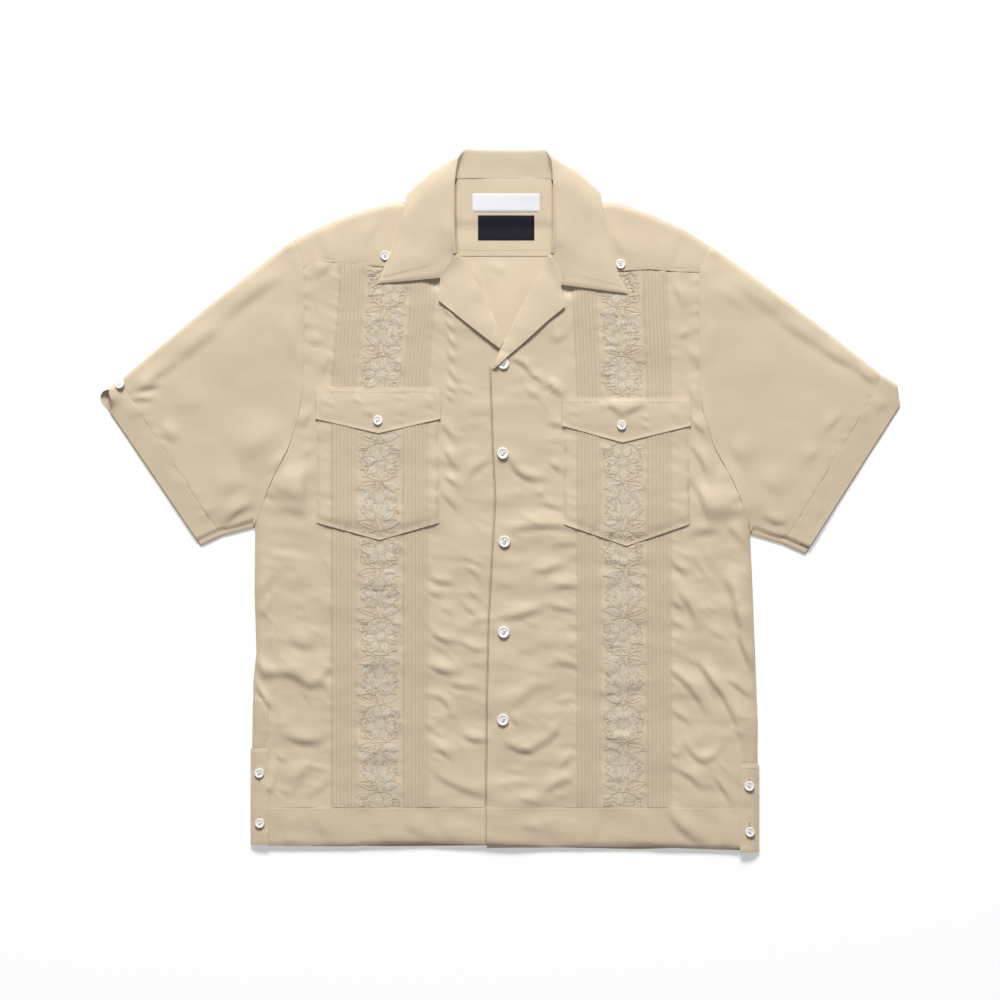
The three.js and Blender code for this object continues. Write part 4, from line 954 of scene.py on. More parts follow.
# ---------------------------------------------------------------- Yoke
# One piece over both shoulders, from the seam on the back to the seams on the fronts. It folds at the
# shoulders, and its inside shows behind the neck.
SHOULDERS = {
    "right": [(-225, 280), (-194.9, 295.4), (-162.5, 308.3), (-121, 321), (-106, 322.5), (-94, 320), (-50, 336)],
    "left": [(226, 274.7), (198, 292.5), (163, 309), (126, 322), (114, 323), (102, 320), (57, 336)],
}
YOKE_FRONTS = {
    "right": [(-212, 251.3), (-190, 257.3), (-160, 255.6), (-120, 251.3), (-60, 250.3)],
    "left": [(214.3, 246.3), (195, 246.6), (160, 249.2), (128, 247.4), (68, 249.3)],
}
LEAF_EDGE_Y, LEAF_LIFT = 306, 1.9
YOKE_FOLDS = (
    (-131, 299, -141, 276, 2, 14, 1.0), (118, 294, 134, 261, -2, 14, 1.0), (-196, 288, -188, 262, 0, 16, 0.8),
    (190, 284, 186, 256, 0, 16, 0.8),
)


def yoke_face(x, y):
    def from_lines(right, left):
        return np.where(x < 0, near_line(x, y, right)[0], near_line(x, y, left)[0])

    fold = from_lines(SHOULDERS["right"], SHOULDERS["left"])
    seam = from_lines(YOKE_FRONTS["right"], YOKE_FRONTS["left"])
    arm = from_lines(RIGHT_ARMHOLE[-2:] + [(-225, 280)], LEFT_ARMHOLE[-2:] + [(226, 275)])
    t = np.clip(fold / 8, 0, 1)
    z = 1.4 + 2.2 * rounded(t) + 2.9 * smooth(fold, 0, 48)
    z = z + fold_heights(x, y, YOKE_FOLDS) + 0.35 * soft_noise(x, y, 42, 26, 61) * t
    z = z + 0.3 * soft_noise(x, y * 0.3, 9, 40, 63) * falloff(seam, 9)
    z = z - 0.3 * falloff(seam - 4.5, 1.1) - 0.3 * falloff(seam, 1.1) - 0.25 * falloff(arm, 1.3)
    return np.maximum(z, 1.3)


def joined(parts):
    """Several sheets of points and triangles as one."""
    points, faces, first = [], [], 0
    for p, f in parts:
        points.append(p)
        faces.append(np.asarray(f) + first)
        first += len(p)
    return np.vstack(points), np.vstack(faces)


parts, yoke_lines = [], []
for side in ("right", "left"):
    outline = YOKE_FRONTS[side] + SHOULDERS[side][::-1]
    flat, faces = cut_flat(outline, 3.2, 3.2, edge_step=3)
    parts.append((np.column_stack([flat, yoke_face(flat[:, 0], flat[:, 1])]), faces))
    seam = inset(resampled(YOKE_FRONTS[side], 3), -4.6 if side == "left" else 4.6)
    yoke_lines.append(laid(seam, yoke_face))
neck_side = (
    [(-212, 264), (212, 264), (225.6, 274.7)] + SHOULDERS["left"][1:]
    + [(54, 348.6), (4, 350), (-46, 348.6)] + SHOULDERS["right"][::-1]
)
flat, faces = cut_flat(neck_side, 4, 4, edge_step=4)


def yoke_inside(x, y):
    middle = 1 - smooth(np.abs(x - 4), 52, 64)
    z = 0.75 + LEAF_LIFT * smooth(y, LEAF_EDGE_Y - 14, LEAF_EDGE_Y) * (1 - smooth(np.abs(x), 98, 118))
    slack = 0.5 * soft_noise(x, y, 33, 21, 67) + 0.25 * soft_noise(x, y * 0.4, 11, 26, 68) * falloff(y - 264, 16)
    rising = 2.2 * smooth(y, 296, 347)
    over_seam = 0.9 * smooth(y, 262, 284)
    return z + middle * (
        0.75 + 0.6 * over_seam + slack * smooth(y, 265, 276) + rising - 0.1 * falloff(y - 265, 1.3)
    )


inside_from = sum(len(f) for _, f in parts)
parts.append((np.column_stack([flat, yoke_inside(flat[:, 0], flat[:, 1])]), faces))
points, faces = joined(parts)
yoke = shell("yoke", points, faces, CLOTH)
yoke.data.materials.append(CLOTH_INSIDE)
for polygon in list(yoke.data.polygons)[inside_from:len(faces)]:
    polygon.material_index = 1
finish_piece(yoke, "yoke")
yoke_lines.append(laid([(-44, 270.5), (52, 270.5)], yoke_inside))
sewn = stitched("yoke_stitches", yoke_lines, seed=17)

# ---------------------------------------------------------------- Collar
# One folded strip of interfaced twill round the neck, topstitched inside its edges. In front it turns
# out flat over the fronts, and behind the neck it rolls over on to its leaf.
COLLAR_STATIONS = (
    # neck edge, top of the roll, middle of the leaf, outer edge: the wearer's right front first
    ((-57.5, 263, 8.0), (-47.5, 267, 10.9), (-64.6, 240, 9.7), (-133.0, 233.5, 8.2)),
    ((-58.5, 276, 7.8), (-49, 283, 13.4), (-88, 266, 10.8), (-126.5, 249, 8.2)),
    ((-58, 300, 7.7), (-49.5, 312, 14.4), (-85, 298, 11.4), (-114, 283, 7.9)),
    ((-56, 322, 7.7), (-49, 344, 14), (-80, 330, 12.2), (-105.5, 308, 8.4)),
    ((-52, 344, 6.4), (-46, 366, 12.4), (-75, 352, 8.6), (-101, 329.5, 3.6)),
    ((-49, 345.5, 6.2), (-43, 373, 11.2), (-66, 359, 3.0), (-96, 331, 0.6)),
    ((-44, 347.4, 6.4), (-37, 378.3, 8.0), (-52, 362, 0.6), (-80, 308, 0.6)),
    ((-22, 347.6, 6.4), (-20, 377.8, 7.6), (-24, 362, 0.6), (-34, 306, 0.6)),
    ((28, 347.6, 6.4), (28, 377.4, 7.6), (32, 362, 0.6), (42, 306, 0.6)),
    ((50, 347.4, 6.4), (47, 378, 8.0), (61, 362, 0.6), (88, 308, 0.6)),
    ((56, 345.5, 6.2), (52, 373, 11.2), (75, 359, 3.0), (104, 331, 0.6)),
    ((59, 344, 6.4), (55, 366, 12.4), (84, 352, 8.6), (108, 331, 3.6)),
    ((63, 322, 7.7), (56.5, 344, 14), (88, 330, 12.2), (110.5, 310, 8.4)),
    ((65, 300, 7.7), (57, 312, 14.4), (92, 296, 11.4), (118, 281, 7.9)),
    ((66, 276, 7.8), (56.5, 283, 13.4), (94, 262, 10.8), (127, 245, 8.2)),
    ((65, 263, 8.0), (54, 267, 10.9), (64.8, 232.6, 9.7), (137.6, 222.8, 8.2)),
)
COLLAR_CLOTH = cloth_material("tan twill over interfacing", (0.625, 0.518, 0.368))
COLLAR_ROWS, ROLL_POINTS, LEAF_POINTS = 170, 16, 26
COLLAR_FOLDS = (
    (-96, 262, -78, 250, 0, 18, 0.5), (84, 268, 96, 246, 0, 18, 0.45),
    (-62, 300, -58, 268, 2, 8, 0.8), (62, 300, 64, 268, -2, 8, 0.8),
)
TOPSTITCH = 5.2  # from the edge


def collar_grid():
    """Points of the collar's outer face, row by row round the neck."""
    station = np.array(COLLAR_STATIONS)
    count = len(station)
    reach = np.linalg.norm(np.diff(station[:, 3], axis=0), axis=1) + 12
    run = np.concatenate([[0], np.cumsum(reach)])
    places = np.interp(np.linspace(0, run[-1], COLLAR_ROWS), run, np.arange(count))
    neck, roll, leaf, edge = (spline(station[:, k], places) for k in range(4))
    grid = []
    for i, (n, r, l, e) in enumerate(zip(neck, roll, leaf, edge)):
        hidden = smooth(-l[2], -7.0, -2.0)
        stand = n + (r - n) * 0.72 + np.array([0, 0, 0.9 - 0.6 * hidden])
        over = r + (l - r) * 0.16 + np.array([0, 0, 0.2 - 2.2 * hidden])
        turned = spline([n, n + (r - n) * 0.36, stand, r, over, l], np.linspace(0, 5, ROLL_POINTS, endpoint=False))
        t = np.linspace(0, 1, LEAF_POINTS)[:, None]
        belly = np.array([0, 0, 0.7]) * np.sin(math.pi * t) * (1 - hidden)
        grid.append(np.vstack([turned, l + (e - l) * t + belly]))
    grid = np.array(grid)
    x, y = grid[..., 0], grid[..., 1]
    soft = 0.32 * soft_noise(x, y, 31, 23, 81) + 0.12 * soft_noise(x, y, 14, 11, 83)
    grid[..., 2] += np.where(grid[..., 2] > 6, soft + fold_heights(x, y, COLLAR_FOLDS), 0)
    return grid


def grid_faces(rows, columns, ring=False):
    """Triangles over a grid of points, seen from the side where columns turn left from rows."""
    faces = []
    for i in range(rows - 1):
        for j in range(columns if ring else columns - 1):
            a, b = i * columns + j, i * columns + (j + 1) % columns
            c, d = a + columns, b + columns
            faces += [(a, c, d), (a, d, b)]
    return faces


def grid_line(grid, i, j):
    """A line through a grid at fractional rows i and columns j."""
    i, j = np.broadcast_arrays(np.asarray(i, float), np.asarray(j, float))
    a, b = np.clip(i.astype(int), 0, grid.shape[0] - 2), np.clip(j.astype(int), 0, grid.shape[1] - 2)
    u, v = (i - a)[:, None], (j - b)[:, None]
    near, far = (grid[a, k] * (1 - u) + grid[a + 1, k] * u for k in (b, b + 1))
    return near * (1 - v) + far * v


def grid_piece(name, grid, cloth, thickness, flip=False, ring=False):
    """A piece whose outer face is a grid of points."""
    faces = grid_faces(*grid.shape[:2], ring=ring)
    made = shell(name, grid.reshape(-1, 3), [f[::-1] for f in faces] if flip else faces, cloth, thickness)
    return finish_piece(made, name)


grid = collar_grid()
rows, columns = grid.shape[:2]
# A shallow groove where the topstitching draws the layers together.
leaf_width = np.linalg.norm(grid[:, -1] - grid[:, ROLL_POINTS], axis=1)
across = np.linspace(0, 1, LEAF_POINTS)[None, :] * leaf_width[:, None]
from_edge = leaf_width[:, None] - across
end_run = np.linalg.norm(np.diff(grid[:, -1], axis=0), axis=1)
end_run = np.concatenate([[0], np.cumsum(end_run)])
from_end = np.minimum(end_run, end_run[-1] - end_run)[:, None] * np.ones_like(from_edge)
inwards = np.minimum(from_edge, from_end * 0.9)
grid[:, ROLL_POINTS:, 2] -= 0.35 * falloff(inwards - TOPSTITCH, 1.1) + 0.9 * falloff(inwards, 1.1)
collar = grid_piece("collar", grid, COLLAR_CLOTH, 1.2)
side_rows = np.arange(4, rows - 4, 1.0)
edge_columns = columns - 1 - (LEAF_POINTS - 1) * TOPSTITCH / np.interp(side_rows, np.arange(rows), leaf_width)
lines = [grid_line(grid, side_rows, edge_columns) + (0, 0, 0.1)]
for i in (4.0, rows - 5.0):
    j = np.arange(ROLL_POINTS + 1.0, float(np.interp(i, side_rows, edge_columns)), 0.5)
    lines.append(grid_line(grid, np.full(j.shape, i), j) + (0, 0, 0.1))
sewn = stitched("collar_stitches", lines, seed=19)
under = ["yoke", "right_front", "left_front"]

# ---------------------------------------------------------------- Lapels
# The upper ends of the two front facings, interfaced, turned out above the first button. Their free
# edges stand a little off the fronts.
LAPELS = {
    # roll and free edge, from the collar down
    "right": (
        ((-48, 265), (-66, 250)), ((-43, 262), (-65, 238.6)), ((-30, 243.5), (-66.7, 215.5)),
        ((-14, 211), (-36, 191)), ((-4, 190), (-16, 175.4)), ((3.6, 173), (-0.3, 163.6)),
    ),
    "left": (
        ((54, 265), (68, 244)), ((50, 261), (65.3, 231)), ((40, 243), (69.7, 209)), ((28, 220), (50, 193)),
        ((12, 187.6), (26.4, 171.4)), ((-2, 158), (7.6, 155.2)), ((-8.8, 143), (-7.6, 141.2)),
    ),
}
FIRST_BUTTON = (3.2, 147.6)
LAPEL_CORNER = 2  # the station at its point
for side, stations in LAPELS.items():
    station = np.array(stations, float)
    count = np.arange(len(station))
    places = np.concatenate([np.linspace(0, LAPEL_CORNER, 26), np.linspace(LAPEL_CORNER, count[-1], 60)[1:]])
    rolls = spline(station[:, 0], places)
    frees = np.column_stack([np.interp(places, count, station[:, 1, k]) for k in (0, 1)])
    t = np.linspace(0, 1, 22)
    grid = []
    for gone, roll, free in zip(places, rolls, frees):
        width = np.linalg.norm(free - roll) or 1.0
        out = (free - roll) / width
        flat = roll + (free - roll) * t[:, None]
        under = outer_face(flat[:, 0], flat[:, 1])
        close = min(1.0, width / 14)
        rise = close * (1.3 + 1.1 * np.sqrt(t) + 0.5 * np.sin(math.pi * t))
        under = under * 0.5 + 0.5 * under.mean()
        top = np.column_stack([flat, under + rise + (2.4 - 1.9 * t) * (1 - smooth(gone, 0.3, 1.7))])
        if side == "left":
            # Its lower end lies over the rim of the first button.
            near = np.exp(-((np.hypot(flat[:, 0] - FIRST_BUTTON[0], flat[:, 1] - FIRST_BUTTON[1]) / 11) ** 6))
            cover = outer_face(FIRST_BUTTON[:1], FIRST_BUTTON[1:])[0] + 3.5
            top[:, 2] += np.maximum(cover - top[:, 2], 0) * near * smooth(t * width, 0.0, 1.5)
        turns = ((2.6, -0.5), (1.2, 0.2), (0.35, 0.9))  # under the fold: how far in, how high
        fold = [(*(roll + out * inward * close), under[0] + height) for inward, height in turns]
        grid.append(np.vstack([fold, top]))
    grid = np.array(grid)
    grid[..., 2] += 0.2 * soft_noise(grid[..., 0], grid[..., 1], 27, 19, 87)
    lapel = grid_piece(f"{side}_lapel", grid, COLLAR_CLOTH, 0.7, flip=side == "left")
    rows = np.arange(24.0, grid.shape[0] - 8.0)
    widths = np.linalg.norm(frees - rolls, axis=1)[24:grid.shape[0] - 8]
    line = grid_line(grid, rows, 24 - 21 * np.minimum(0.8, 5 / widths)) + (0, 0, 0.08)
    sewn = stitched(f"{side}_lapel_stitches", [line], seed=23)
    declare_sheet(lapel, np.vstack([rolls, frees[::-1]]), rests_on=[f"{side}_front"], with_pieces=[sewn])

# ---------------------------------------------------------------- Sleeves and cuffs
# Each sleeve is one piece folded at the shoulder and sewn under the arm, so it lies as a flattened tube.
# A doubled cuff with its own seam finishes it. One button holds the fold of the wearer's right cuff.
RIGHT_CUFF = dict(
    seam=[(-301.5, -38.5), (-403.7, 117.5), (-407.7, 131.5)],
    edge=[(-323, -48.5), (-425, 101.5), (-430.0, 107), (-431, 113), (-427.5, 118)],
)
LEFT_CUFF = dict(
    seam=[(305, -47), (408, 124), (411, 135.5)],
    edge=[(328.6, -57.5), (430.8, 102.5), (427.6, 125)],
)
SLEEVE_FOLDS = {
    "right": (
        (-240, 238, -296, 196, 2, 21, 1.8), (-300, 187, -352, 146, 1, 20, 1.4), (-352, 146, -392, 118, 0, 15, 1.1),
        (-390, 118, -368, 124, 0, 11, 1.4), (-396, 108, -376, 108, 0, 9, 0.9), (-366, 78, -350, 66, 0, 12, 0.8),
        (-366, 70, -353, 62, 0, 9, 0.7), (-274, 44, -236, 74, 0, 30, 1.6), (-302, 6, -276, 20, 0, 20, 0.8),
        (-316, -20, -308, -8, 0, 8, 0.5), (-296, -24, -268, -6, 2, 12, 1.2), (-236, 196, -224, 150, 0, 26, 0.8),
        (-300, 130, -262, 150, 6, 40, 0.7), (-345, 96, -318, 108, 0, 26, 0.6),
    ),
    "left": (
        (250, 236, 303, 196, -1, 20, 1.2), (303, 193, 340, 168, -1, 18, 1.2), (340, 168, 384, 142, -2, 15, 1.1),
        (384, 142, 402, 126, -1, 12, 0.9), (236, 226, 262, 206, 0, 18, 0.7), (300, 6, 280, 24, 0, 20, 0.8),
        (246, 60, 262, 40, 0, 18, 0.9), (284, -18, 306, -26, -2, 11, 1.0), (352, 74, 368, 92, 0, 12, 0.7),
        (330, 40, 344, 54, 0, 16, 0.6), (236, 196, 228, 150, 0, 26, 0.7), (268, 120, 306, 140, 6, 40, 0.7),
    ),
}
CUFF_FOLDS = {
    "right": ((-398, 88, -384, 98, 0, 18, 0.3), (-350, 8, -336, 18, 0, 22, 0.3)),
    "left": ((406, 96, 418, 104, 0, 16, 0.5), (372, 34, 384, 44, 0, 18, 0.3), (340, -20, 350, -10, 0, 14, 0.3)),
}


def across_tube(line, count=64):
    """Places from the underarm fold to the shoulder fold, closer together at both."""
    line = resampled(line, 1.0)
    run = np.concatenate([[0], np.cumsum(np.linalg.norm(np.diff(line, axis=0), axis=1))])
    share = (1 - np.cos(np.pi * np.linspace(0, 1, count))) / 2
    share = 0.55 * share + 0.45 * np.linspace(0, 1, count)
    return np.column_stack([np.interp(share * run[-1], run, line[:, k]) for k in (0, 1)]), run[-1] * share


def flat_tube(start, end, stations, top, folds, reach, bow=0.0, beside=None, mouth=0.0, lower_out=0.0):
    """A tube lying flat: the upper layer rolls down to the lower one at the shoulder and the underarm."""
    low, lip = 0.7, 7.5  # height of the lower layer's face, and how far it shows at the underarm
    side_rise, fold_rise = 3.0, 0.45  # over the lower layer: beside the rolls, and at the folds themselves
    (first, run0), (last, run1) = across_tube(start), across_tube(end)
    way = np.mean(np.array([end[0], end[-1]]), axis=0) - np.mean(np.array([start[0], start[-1]]), axis=0)
    way = (way / np.linalg.norm(way))[None, :]
    upper, lower = [], []
    for u in np.linspace(0, 1, stations):
        plan = first + (last - first) * u
        run = run0 + (run1 - run0) * u
        share = run / run[-1]
        plan = plan + np.column_stack([np.zeros(len(plan)), bow * math.sin(math.pi * u) * smooth(share, 0.6, 1)])
        open_end = mouth * u * u * smooth(share, 0.86, 0.94)
        drawn = plan - way * (open_end * (1 - smooth(share, 0.975, 1.0)))[:, None]
        x, y = drawn.T
        # It rolls down at both folds, and is fullest between them.
        step = lip * (smooth(u, 0.0, 0.1) if beside else 1)
        rolled = rounded(np.clip((run - step) / 1.7, 0, 1)) * rounded(np.clip((run[-1] - run) / reach, 0, 1))
        fullness = smooth(run - step, 0, 34) * smooth(run[-1] - run, 0, 44)
        rise = side_rise + (top(u, share) - low - side_rise) * fullness
        slow = 0.8 * soft_noise(x, y, 64, 46, 91) + 0.2 * soft_noise(x, y, 21, 15, 93)
        z = low + 0.9 + (rise - 0.9 + slow + 1.8 * fold_heights(x, y, folds)) * rolled
        # Gathers and a slight groove along each seam.
        for line in (start, end) if beside else (start,):
            seam = near_line(x, y, line)[0]
            z = z + 0.4 * soft_noise(run, np.full(run.shape, u * 3.0), 7, 5, 97) * falloff(seam, 9) * rolled
            z = z - 0.2 * falloff(seam, 1.2) * rolled
        if beside:
            z = z + (beside(x, y) - z) * (1 - smooth(near_line(x, y, start)[0], 0, 15)) * rolled
        swell = np.sin(math.pi * np.clip((1 - share) / 0.14, 0, 1)) ** 0.6
        z = np.maximum(z + 0.62 * open_end * swell, low + fold_rise)
        z[0], z[-1] = low + fold_rise, low + fold_rise + 0.42 * open_end[-1]
        upper.append(np.column_stack([drawn, z]))
        under = plan + way * lower_out * u
        sole = low + 0.12 * soft_noise(x, y, 40, 30, 95) + (z[-1] - low) * smooth(share, 0.95, 1.0) ** 1.5
        lower.append(np.column_stack([under, sole])[1:-1][::-1])
    return np.array(upper), np.concatenate([np.array(upper), np.array(lower)], axis=1)


def beside_armhole(x, y):
    return np.where(y > 249, yoke_face(x, y), front_height(x, y)) + 0.1


SLEEVE_HEADS = {
    "right": [(-264.6, -29)] + RIGHT_ARMHOLE + [(-225, 280)],
    "left": [(268.6, -36.5)] + LEFT_ARMHOLE + [(226, 275)],
}
for side, cuff in (("right", RIGHT_CUFF), ("left", LEFT_CUFF)):
    flip = side == "left"
    upper, grid = flat_tube(
        SLEEVE_HEADS[side], cuff["seam"], 60, lambda u, share: 6.0 - 0.8 * u, SLEEVE_FOLDS[side],
        reach=4.5, bow=2.5, beside=beside_armhole,
    )
    sleeve = grid_piece(f"{side}_sleeve", grid, CLOTH, SHELL, flip, ring=True)
    upper, grid = flat_tube(
        cuff["seam"], cuff["edge"], 24, lambda u, share: 4.7 - (1.1 + 2.0 * share) * u, CUFF_FOLDS[side],
        reach=3.5, mouth=0.0 if flip else 10.0, lower_out=1.2,
    )
    made = grid_piece(f"{side}_cuff", grid, CLOTH, 0.7, flip, ring=True)
    at = np.arange(8.0, upper.shape[1] - 4.0, 0.5)
    line = grid_line(upper, np.full(at.shape, 2.2), at) + (0, 0, 0.05)
    sewn = stitched(f"{side}_cuff_stitches", [line], width=0.4, seed=29)

for made, low, high, below, sewing in (
    (right_front, -269, 14, ["back"], []), (left_front, -14, 277, ["back", "right_front"], [placket_stitches]),
):
    box = [(low, 257), (high, 257), (high, HEM_SEAM_Y), (low, HEM_SEAM_Y)]
    declare_sheet(made, box, rests_on=below, with_pieces=sewing)

# ---------------------------------------------------------------- Embroidery
# Between the bands runs a strip of machine embroidery in pale thread: rosettes and leaf sprays on a
# wavy stem. The fronts and the pockets are worked as one, so the strip runs on across them.
PALE_THREAD = cloth_material(
    "pale ecru embroidery thread", (0.605, 0.53, 0.405), roughness=0.4, sheen=0.0, thread=0.0005, bump=0.5,
)
# Outline thread in a darker beige than the cloth: partly real outline stitching, partly painted shade along the motifs'
# raised edges.
SHADED_OUTLINE_THREAD = cloth_material("grey outline thread", (0.46, 0.40, 0.30), roughness=0.45, sheen=0.0, bump=0.0)
STRIP_MIDDLES = {"right": -130.5, "left": 133.3}
ROSETTE_PITCH = 94.0
SPRAY = (
    # where a leaf starts beside the stem, how it leans, its length and width
    (3, 3, 0.30, 22, 8.5), (4, 11, 0.62, 20, 8.0), (4, 20, 0.95, 18, 7.5), (2, 29, 1.25, 15, 6.5),
    (12, -5, -0.1, 13, 6.5), (3, 38, 0.45, 20, 7.0),
)


def turned(points, angle, x, y):
    c, s = math.cos(angle), math.sin(angle)
    return np.column_stack([x + c * points[:, 0] - s * points[:, 1], y + s * points[:, 0] + c * points[:, 1]])


def leaf(x, y, angle, length, width, bend=0.0):
    """A closed pointed leaf, from its stalk."""
    t = np.linspace(0, 1, 11)
    half = width / 2 * np.sin(math.pi * t**0.8)
    sway = bend * np.sin(math.pi * t)
    upper, lower = np.column_stack([length * t, sway + half]), np.column_stack([length * t, sway - half])
    return turned(np.vstack([upper, lower[::-1][1:-1]]), angle, x, y)


def curl(x, y, angle, radius, turns, hand):
    """An open scroll that winds in from its stalk."""
    t = np.linspace(0, 1, 26)
    r = radius * (1 - 0.78 * t)
    a = hand * (2 * math.pi * turns * t - math.pi / 2)
    points = np.column_stack([r * np.cos(a), r * np.sin(a) + hand * radius])
    return turned(points - points[0], angle, x, y)


def rosette(x, y, radius, petals, spin):
    """Filled petals round a filled eye. Returns filled shapes and lines."""
    filled, lines = [], []
    for k in range(petals):
        a = spin + 2 * math.pi * k / petals
        r = radius * 0.34
        filled.append(leaf(x + r * math.cos(a), y + r * math.sin(a), a, radius * 0.72, radius * 0.5))
        ends = (r * 1.1, radius * 0.82)
        lines.append(np.array([[x + far * math.cos(a), y + far * math.sin(a)] for far in ends]))
    a = np.linspace(0, 2 * math.pi, 15)
    filled.append(np.column_stack([x + radius * 0.27 * np.cos(a[:-1]), y + radius * 0.27 * np.sin(a[:-1])]))
    lines += [np.column_stack([x + radius * n * np.cos(a), y + radius * n * np.sin(a)]) for n in (0.14, 1.12)]
    return filled, lines


def scallops(x, y, wide, tall, waves, depth):
    """A closed lacy line: an oval whose edge runs in and out."""
    a = np.linspace(0, 2 * math.pi, 14 * waves)
    share = 1 + depth * np.sin(waves * a) + 0.4 * depth * np.sin((2 * waves + 3) * a)
    return np.column_stack([x + wide * share * np.cos(a), y + tall * share * np.sin(a)])


def strip_design(foot, top, middle, hand):
    """One strip: a wavy stem with a rosette at each bend, and leaves and scrolls between."""
    filled, lines = [], []
    y = np.arange(foot, top, 3.0)
    lines.append(np.column_stack([middle + hand * 6 * np.sin(2 * math.pi * (y - foot) / ROSETTE_PITCH), y]))
    for k in range(int((top - foot) / ROSETTE_PITCH) + 2):
        cx, cy = middle + hand * 1.5, foot + (k + 0.28) * ROSETTE_PITCH
        petals, veins = rosette(cx, cy, 18.5, 8 if k % 2 else 7, 0.3 * k)
        filled += petals
        lines += veins
        lines += [scallops(cx, cy, 21.5, 21.5, 15, 0.06), scallops(cx, cy, 15.5, 15.5, 21, 0.13)]
        lines += [scallops(cx, cy + 46, 17, 20, 17, 0.14), scallops(cx, cy + 46, 9, 12, 11, 0.22)]
        for up in (1, -1):
            for dx, dy, angle, length, width in SPRAY if up > 0 else SPRAY[:4]:
                for mirror in (1, -1):
                    a = angle if mirror > 0 else math.pi - angle
                    long = length * (0.93 if mirror * hand > 0 else 1.05)
                    shape = leaf(middle + mirror * dx, cy + up * (20 + dy), up * a, long, width, bend=mirror * 1.5)
                    filled.append(shape)
                    lines.append(np.vstack([shape[0], (shape[7] + shape[13]) / 2]))
        for mirror in (1, -1):
            lines.append(curl(middle + mirror * 14, cy + 13, math.pi / 2 - mirror * 0.9, 6.0, 1.15, -mirror))
            lines.append(curl(middle + mirror * 13, cy - 15, -math.pi / 2 + mirror * 0.9, 5.5, 1.1, mirror))
    return filled, lines


def thread_ribbon(line, width, rise):
    """A thread laid along a flat line, three points across so that it has a crown: x, y, lift."""
    way = np.gradient(line, axis=0)
    way /= np.maximum(np.linalg.norm(way, axis=1, keepdims=True), 1e-9)
    side = np.column_stack([-way[:, 1], way[:, 0]]) * width / 2
    strands = ((line + side, 0.04), (line, rise), (line - side, 0.04))
    rows = [np.column_stack([q, np.full(len(line), lift)]) for q, lift in strands]
    return np.stack(rows, axis=1).reshape(-1, 3), grid_faces(len(line), 3)


def satin_fill(outline, rise):
    """Satin stitch over a closed shape, a little domed: x, y, lift."""
    x, y = outline.T
    if np.sum(x * np.roll(y, -1) - np.roll(x, -1) * y) < 0:
        outline = outline[::-1]
    centre = outline.mean(axis=0)
    n = len(outline)
    flat = np.vstack([centre + (outline - centre) * share for share in (1.0, 0.72, 0.36)] + [centre[None, :]])
    lift = np.concatenate([np.full(n, 0.06), np.full(n, rise), np.full(n, rise * 1.1), [rise * 1.1]])
    faces = []
    for ring in range(2):
        for k in range(n):
            a, b = ring * n + k, ring * n + (k + 1) % n
            faces += [(a, b, b + n), (a, b + n, a + n)]
    faces += [(2 * n + k, 2 * n + (k + 1) % n, 3 * n) for k in range(n)]
    return np.column_stack([flat, lift]), faces


def runs(kept):
    """The stretches of a line whose points are all kept."""
    bounds = np.flatnonzero(np.diff(np.concatenate([[0], kept.astype(int), [0]])))
    return [(a, b) for a, b in zip(bounds[::2], bounds[1::2]) if b - a > 1]


for p in POCKETS:
    side = p["side"]
    middle = STRIP_MIDDLES[side]
    filled, lines = strip_design(HEM_SEAM_Y - 30, 262, middle, 1 if side == "right" else -1)
    pocket_edge, flap_edge = np.array(pocket_outline(p)), np.array(flap_outline(p))
    seam = np.array(YOKE_FRONTS[side])
    seam = seam[np.argsort(seam[:, 0])]
    leaf_edge = np.array(COLLAR_STATIONS)[:, 3, :2]
    if side == "right":
        leaf_edge = np.vstack([leaf_edge[:5], [(-50, 300), (-55, 250)]])
    else:
        leaf_edge = np.vstack([leaf_edge[-5:], [(58, 250), (52, 300)]])

    def worn(q, on_pocket):
        """Whether points lie on the front itself, or on the pocket, and clear of what is sewn over."""
        x, y = q.T
        covered = inside_outline(x, y, flap_edge) | inside_outline(x, y, leaf_edge)
        near_edge = near_line(x, y, pocket_edge[1:4])[0] < 1.2
        kept = (np.abs(x - lean_x(middle, y)) < 25) & (y > HEM_SEAM_Y + 0.8)
        kept &= y < np.interp(x, seam[:, 0], seam[:, 1]) - 1.5
        return kept & ~covered & ~near_edge & (inside_outline(x, y, pocket_edge) == on_pocket)

    def leaned(q):
        return np.column_stack([lean_x(q[:, 0], q[:, 1]), q[:, 1]])

    for on_pocket, face, owner in (
        (False, outer_face, f"{side}_front"), (True, lambda x, y: pocket_face(x, y, p), f"{side}_pocket"),
    ):
        fills, outlines = [], []
        for shape in filled:
            shape = leaned(shape)
            if worn(shape, on_pocket).all():
                fills.append(satin_fill(shape, 0.2))
            ring = resampled(np.vstack([shape, shape[:1]]), 1.8)
            outlines += [thread_ribbon(ring[a:b], 0.55, 0.36) for a, b in runs(worn(ring, on_pocket))]
        for line in lines:
            line = resampled(leaned(line), 1.8)
            outlines += [thread_ribbon(line[a:b], 0.6, 0.42) for a, b in runs(worn(line, on_pocket))]
        for kind, parts, thread in (("satin", fills, PALE_THREAD), ("outline", outlines, SHADED_OUTLINE_THREAD)):
            points, faces = joined(parts)
            points[:, 2] += face(points[:, 0], points[:, 1])
            finish_piece(link_mesh(f"{owner}_{kind}_embroidery", points, faces.tolist(), thread))

# ---------------------------------------------------------------- Labels
# Two woven labels sewn inside the back yoke, one white and one black. Both are blank.
def woven_label(name, colour, **more):
    return cloth_material(name, colour, sheen=0.0, thread=0.0003, bump=0.2, **more)


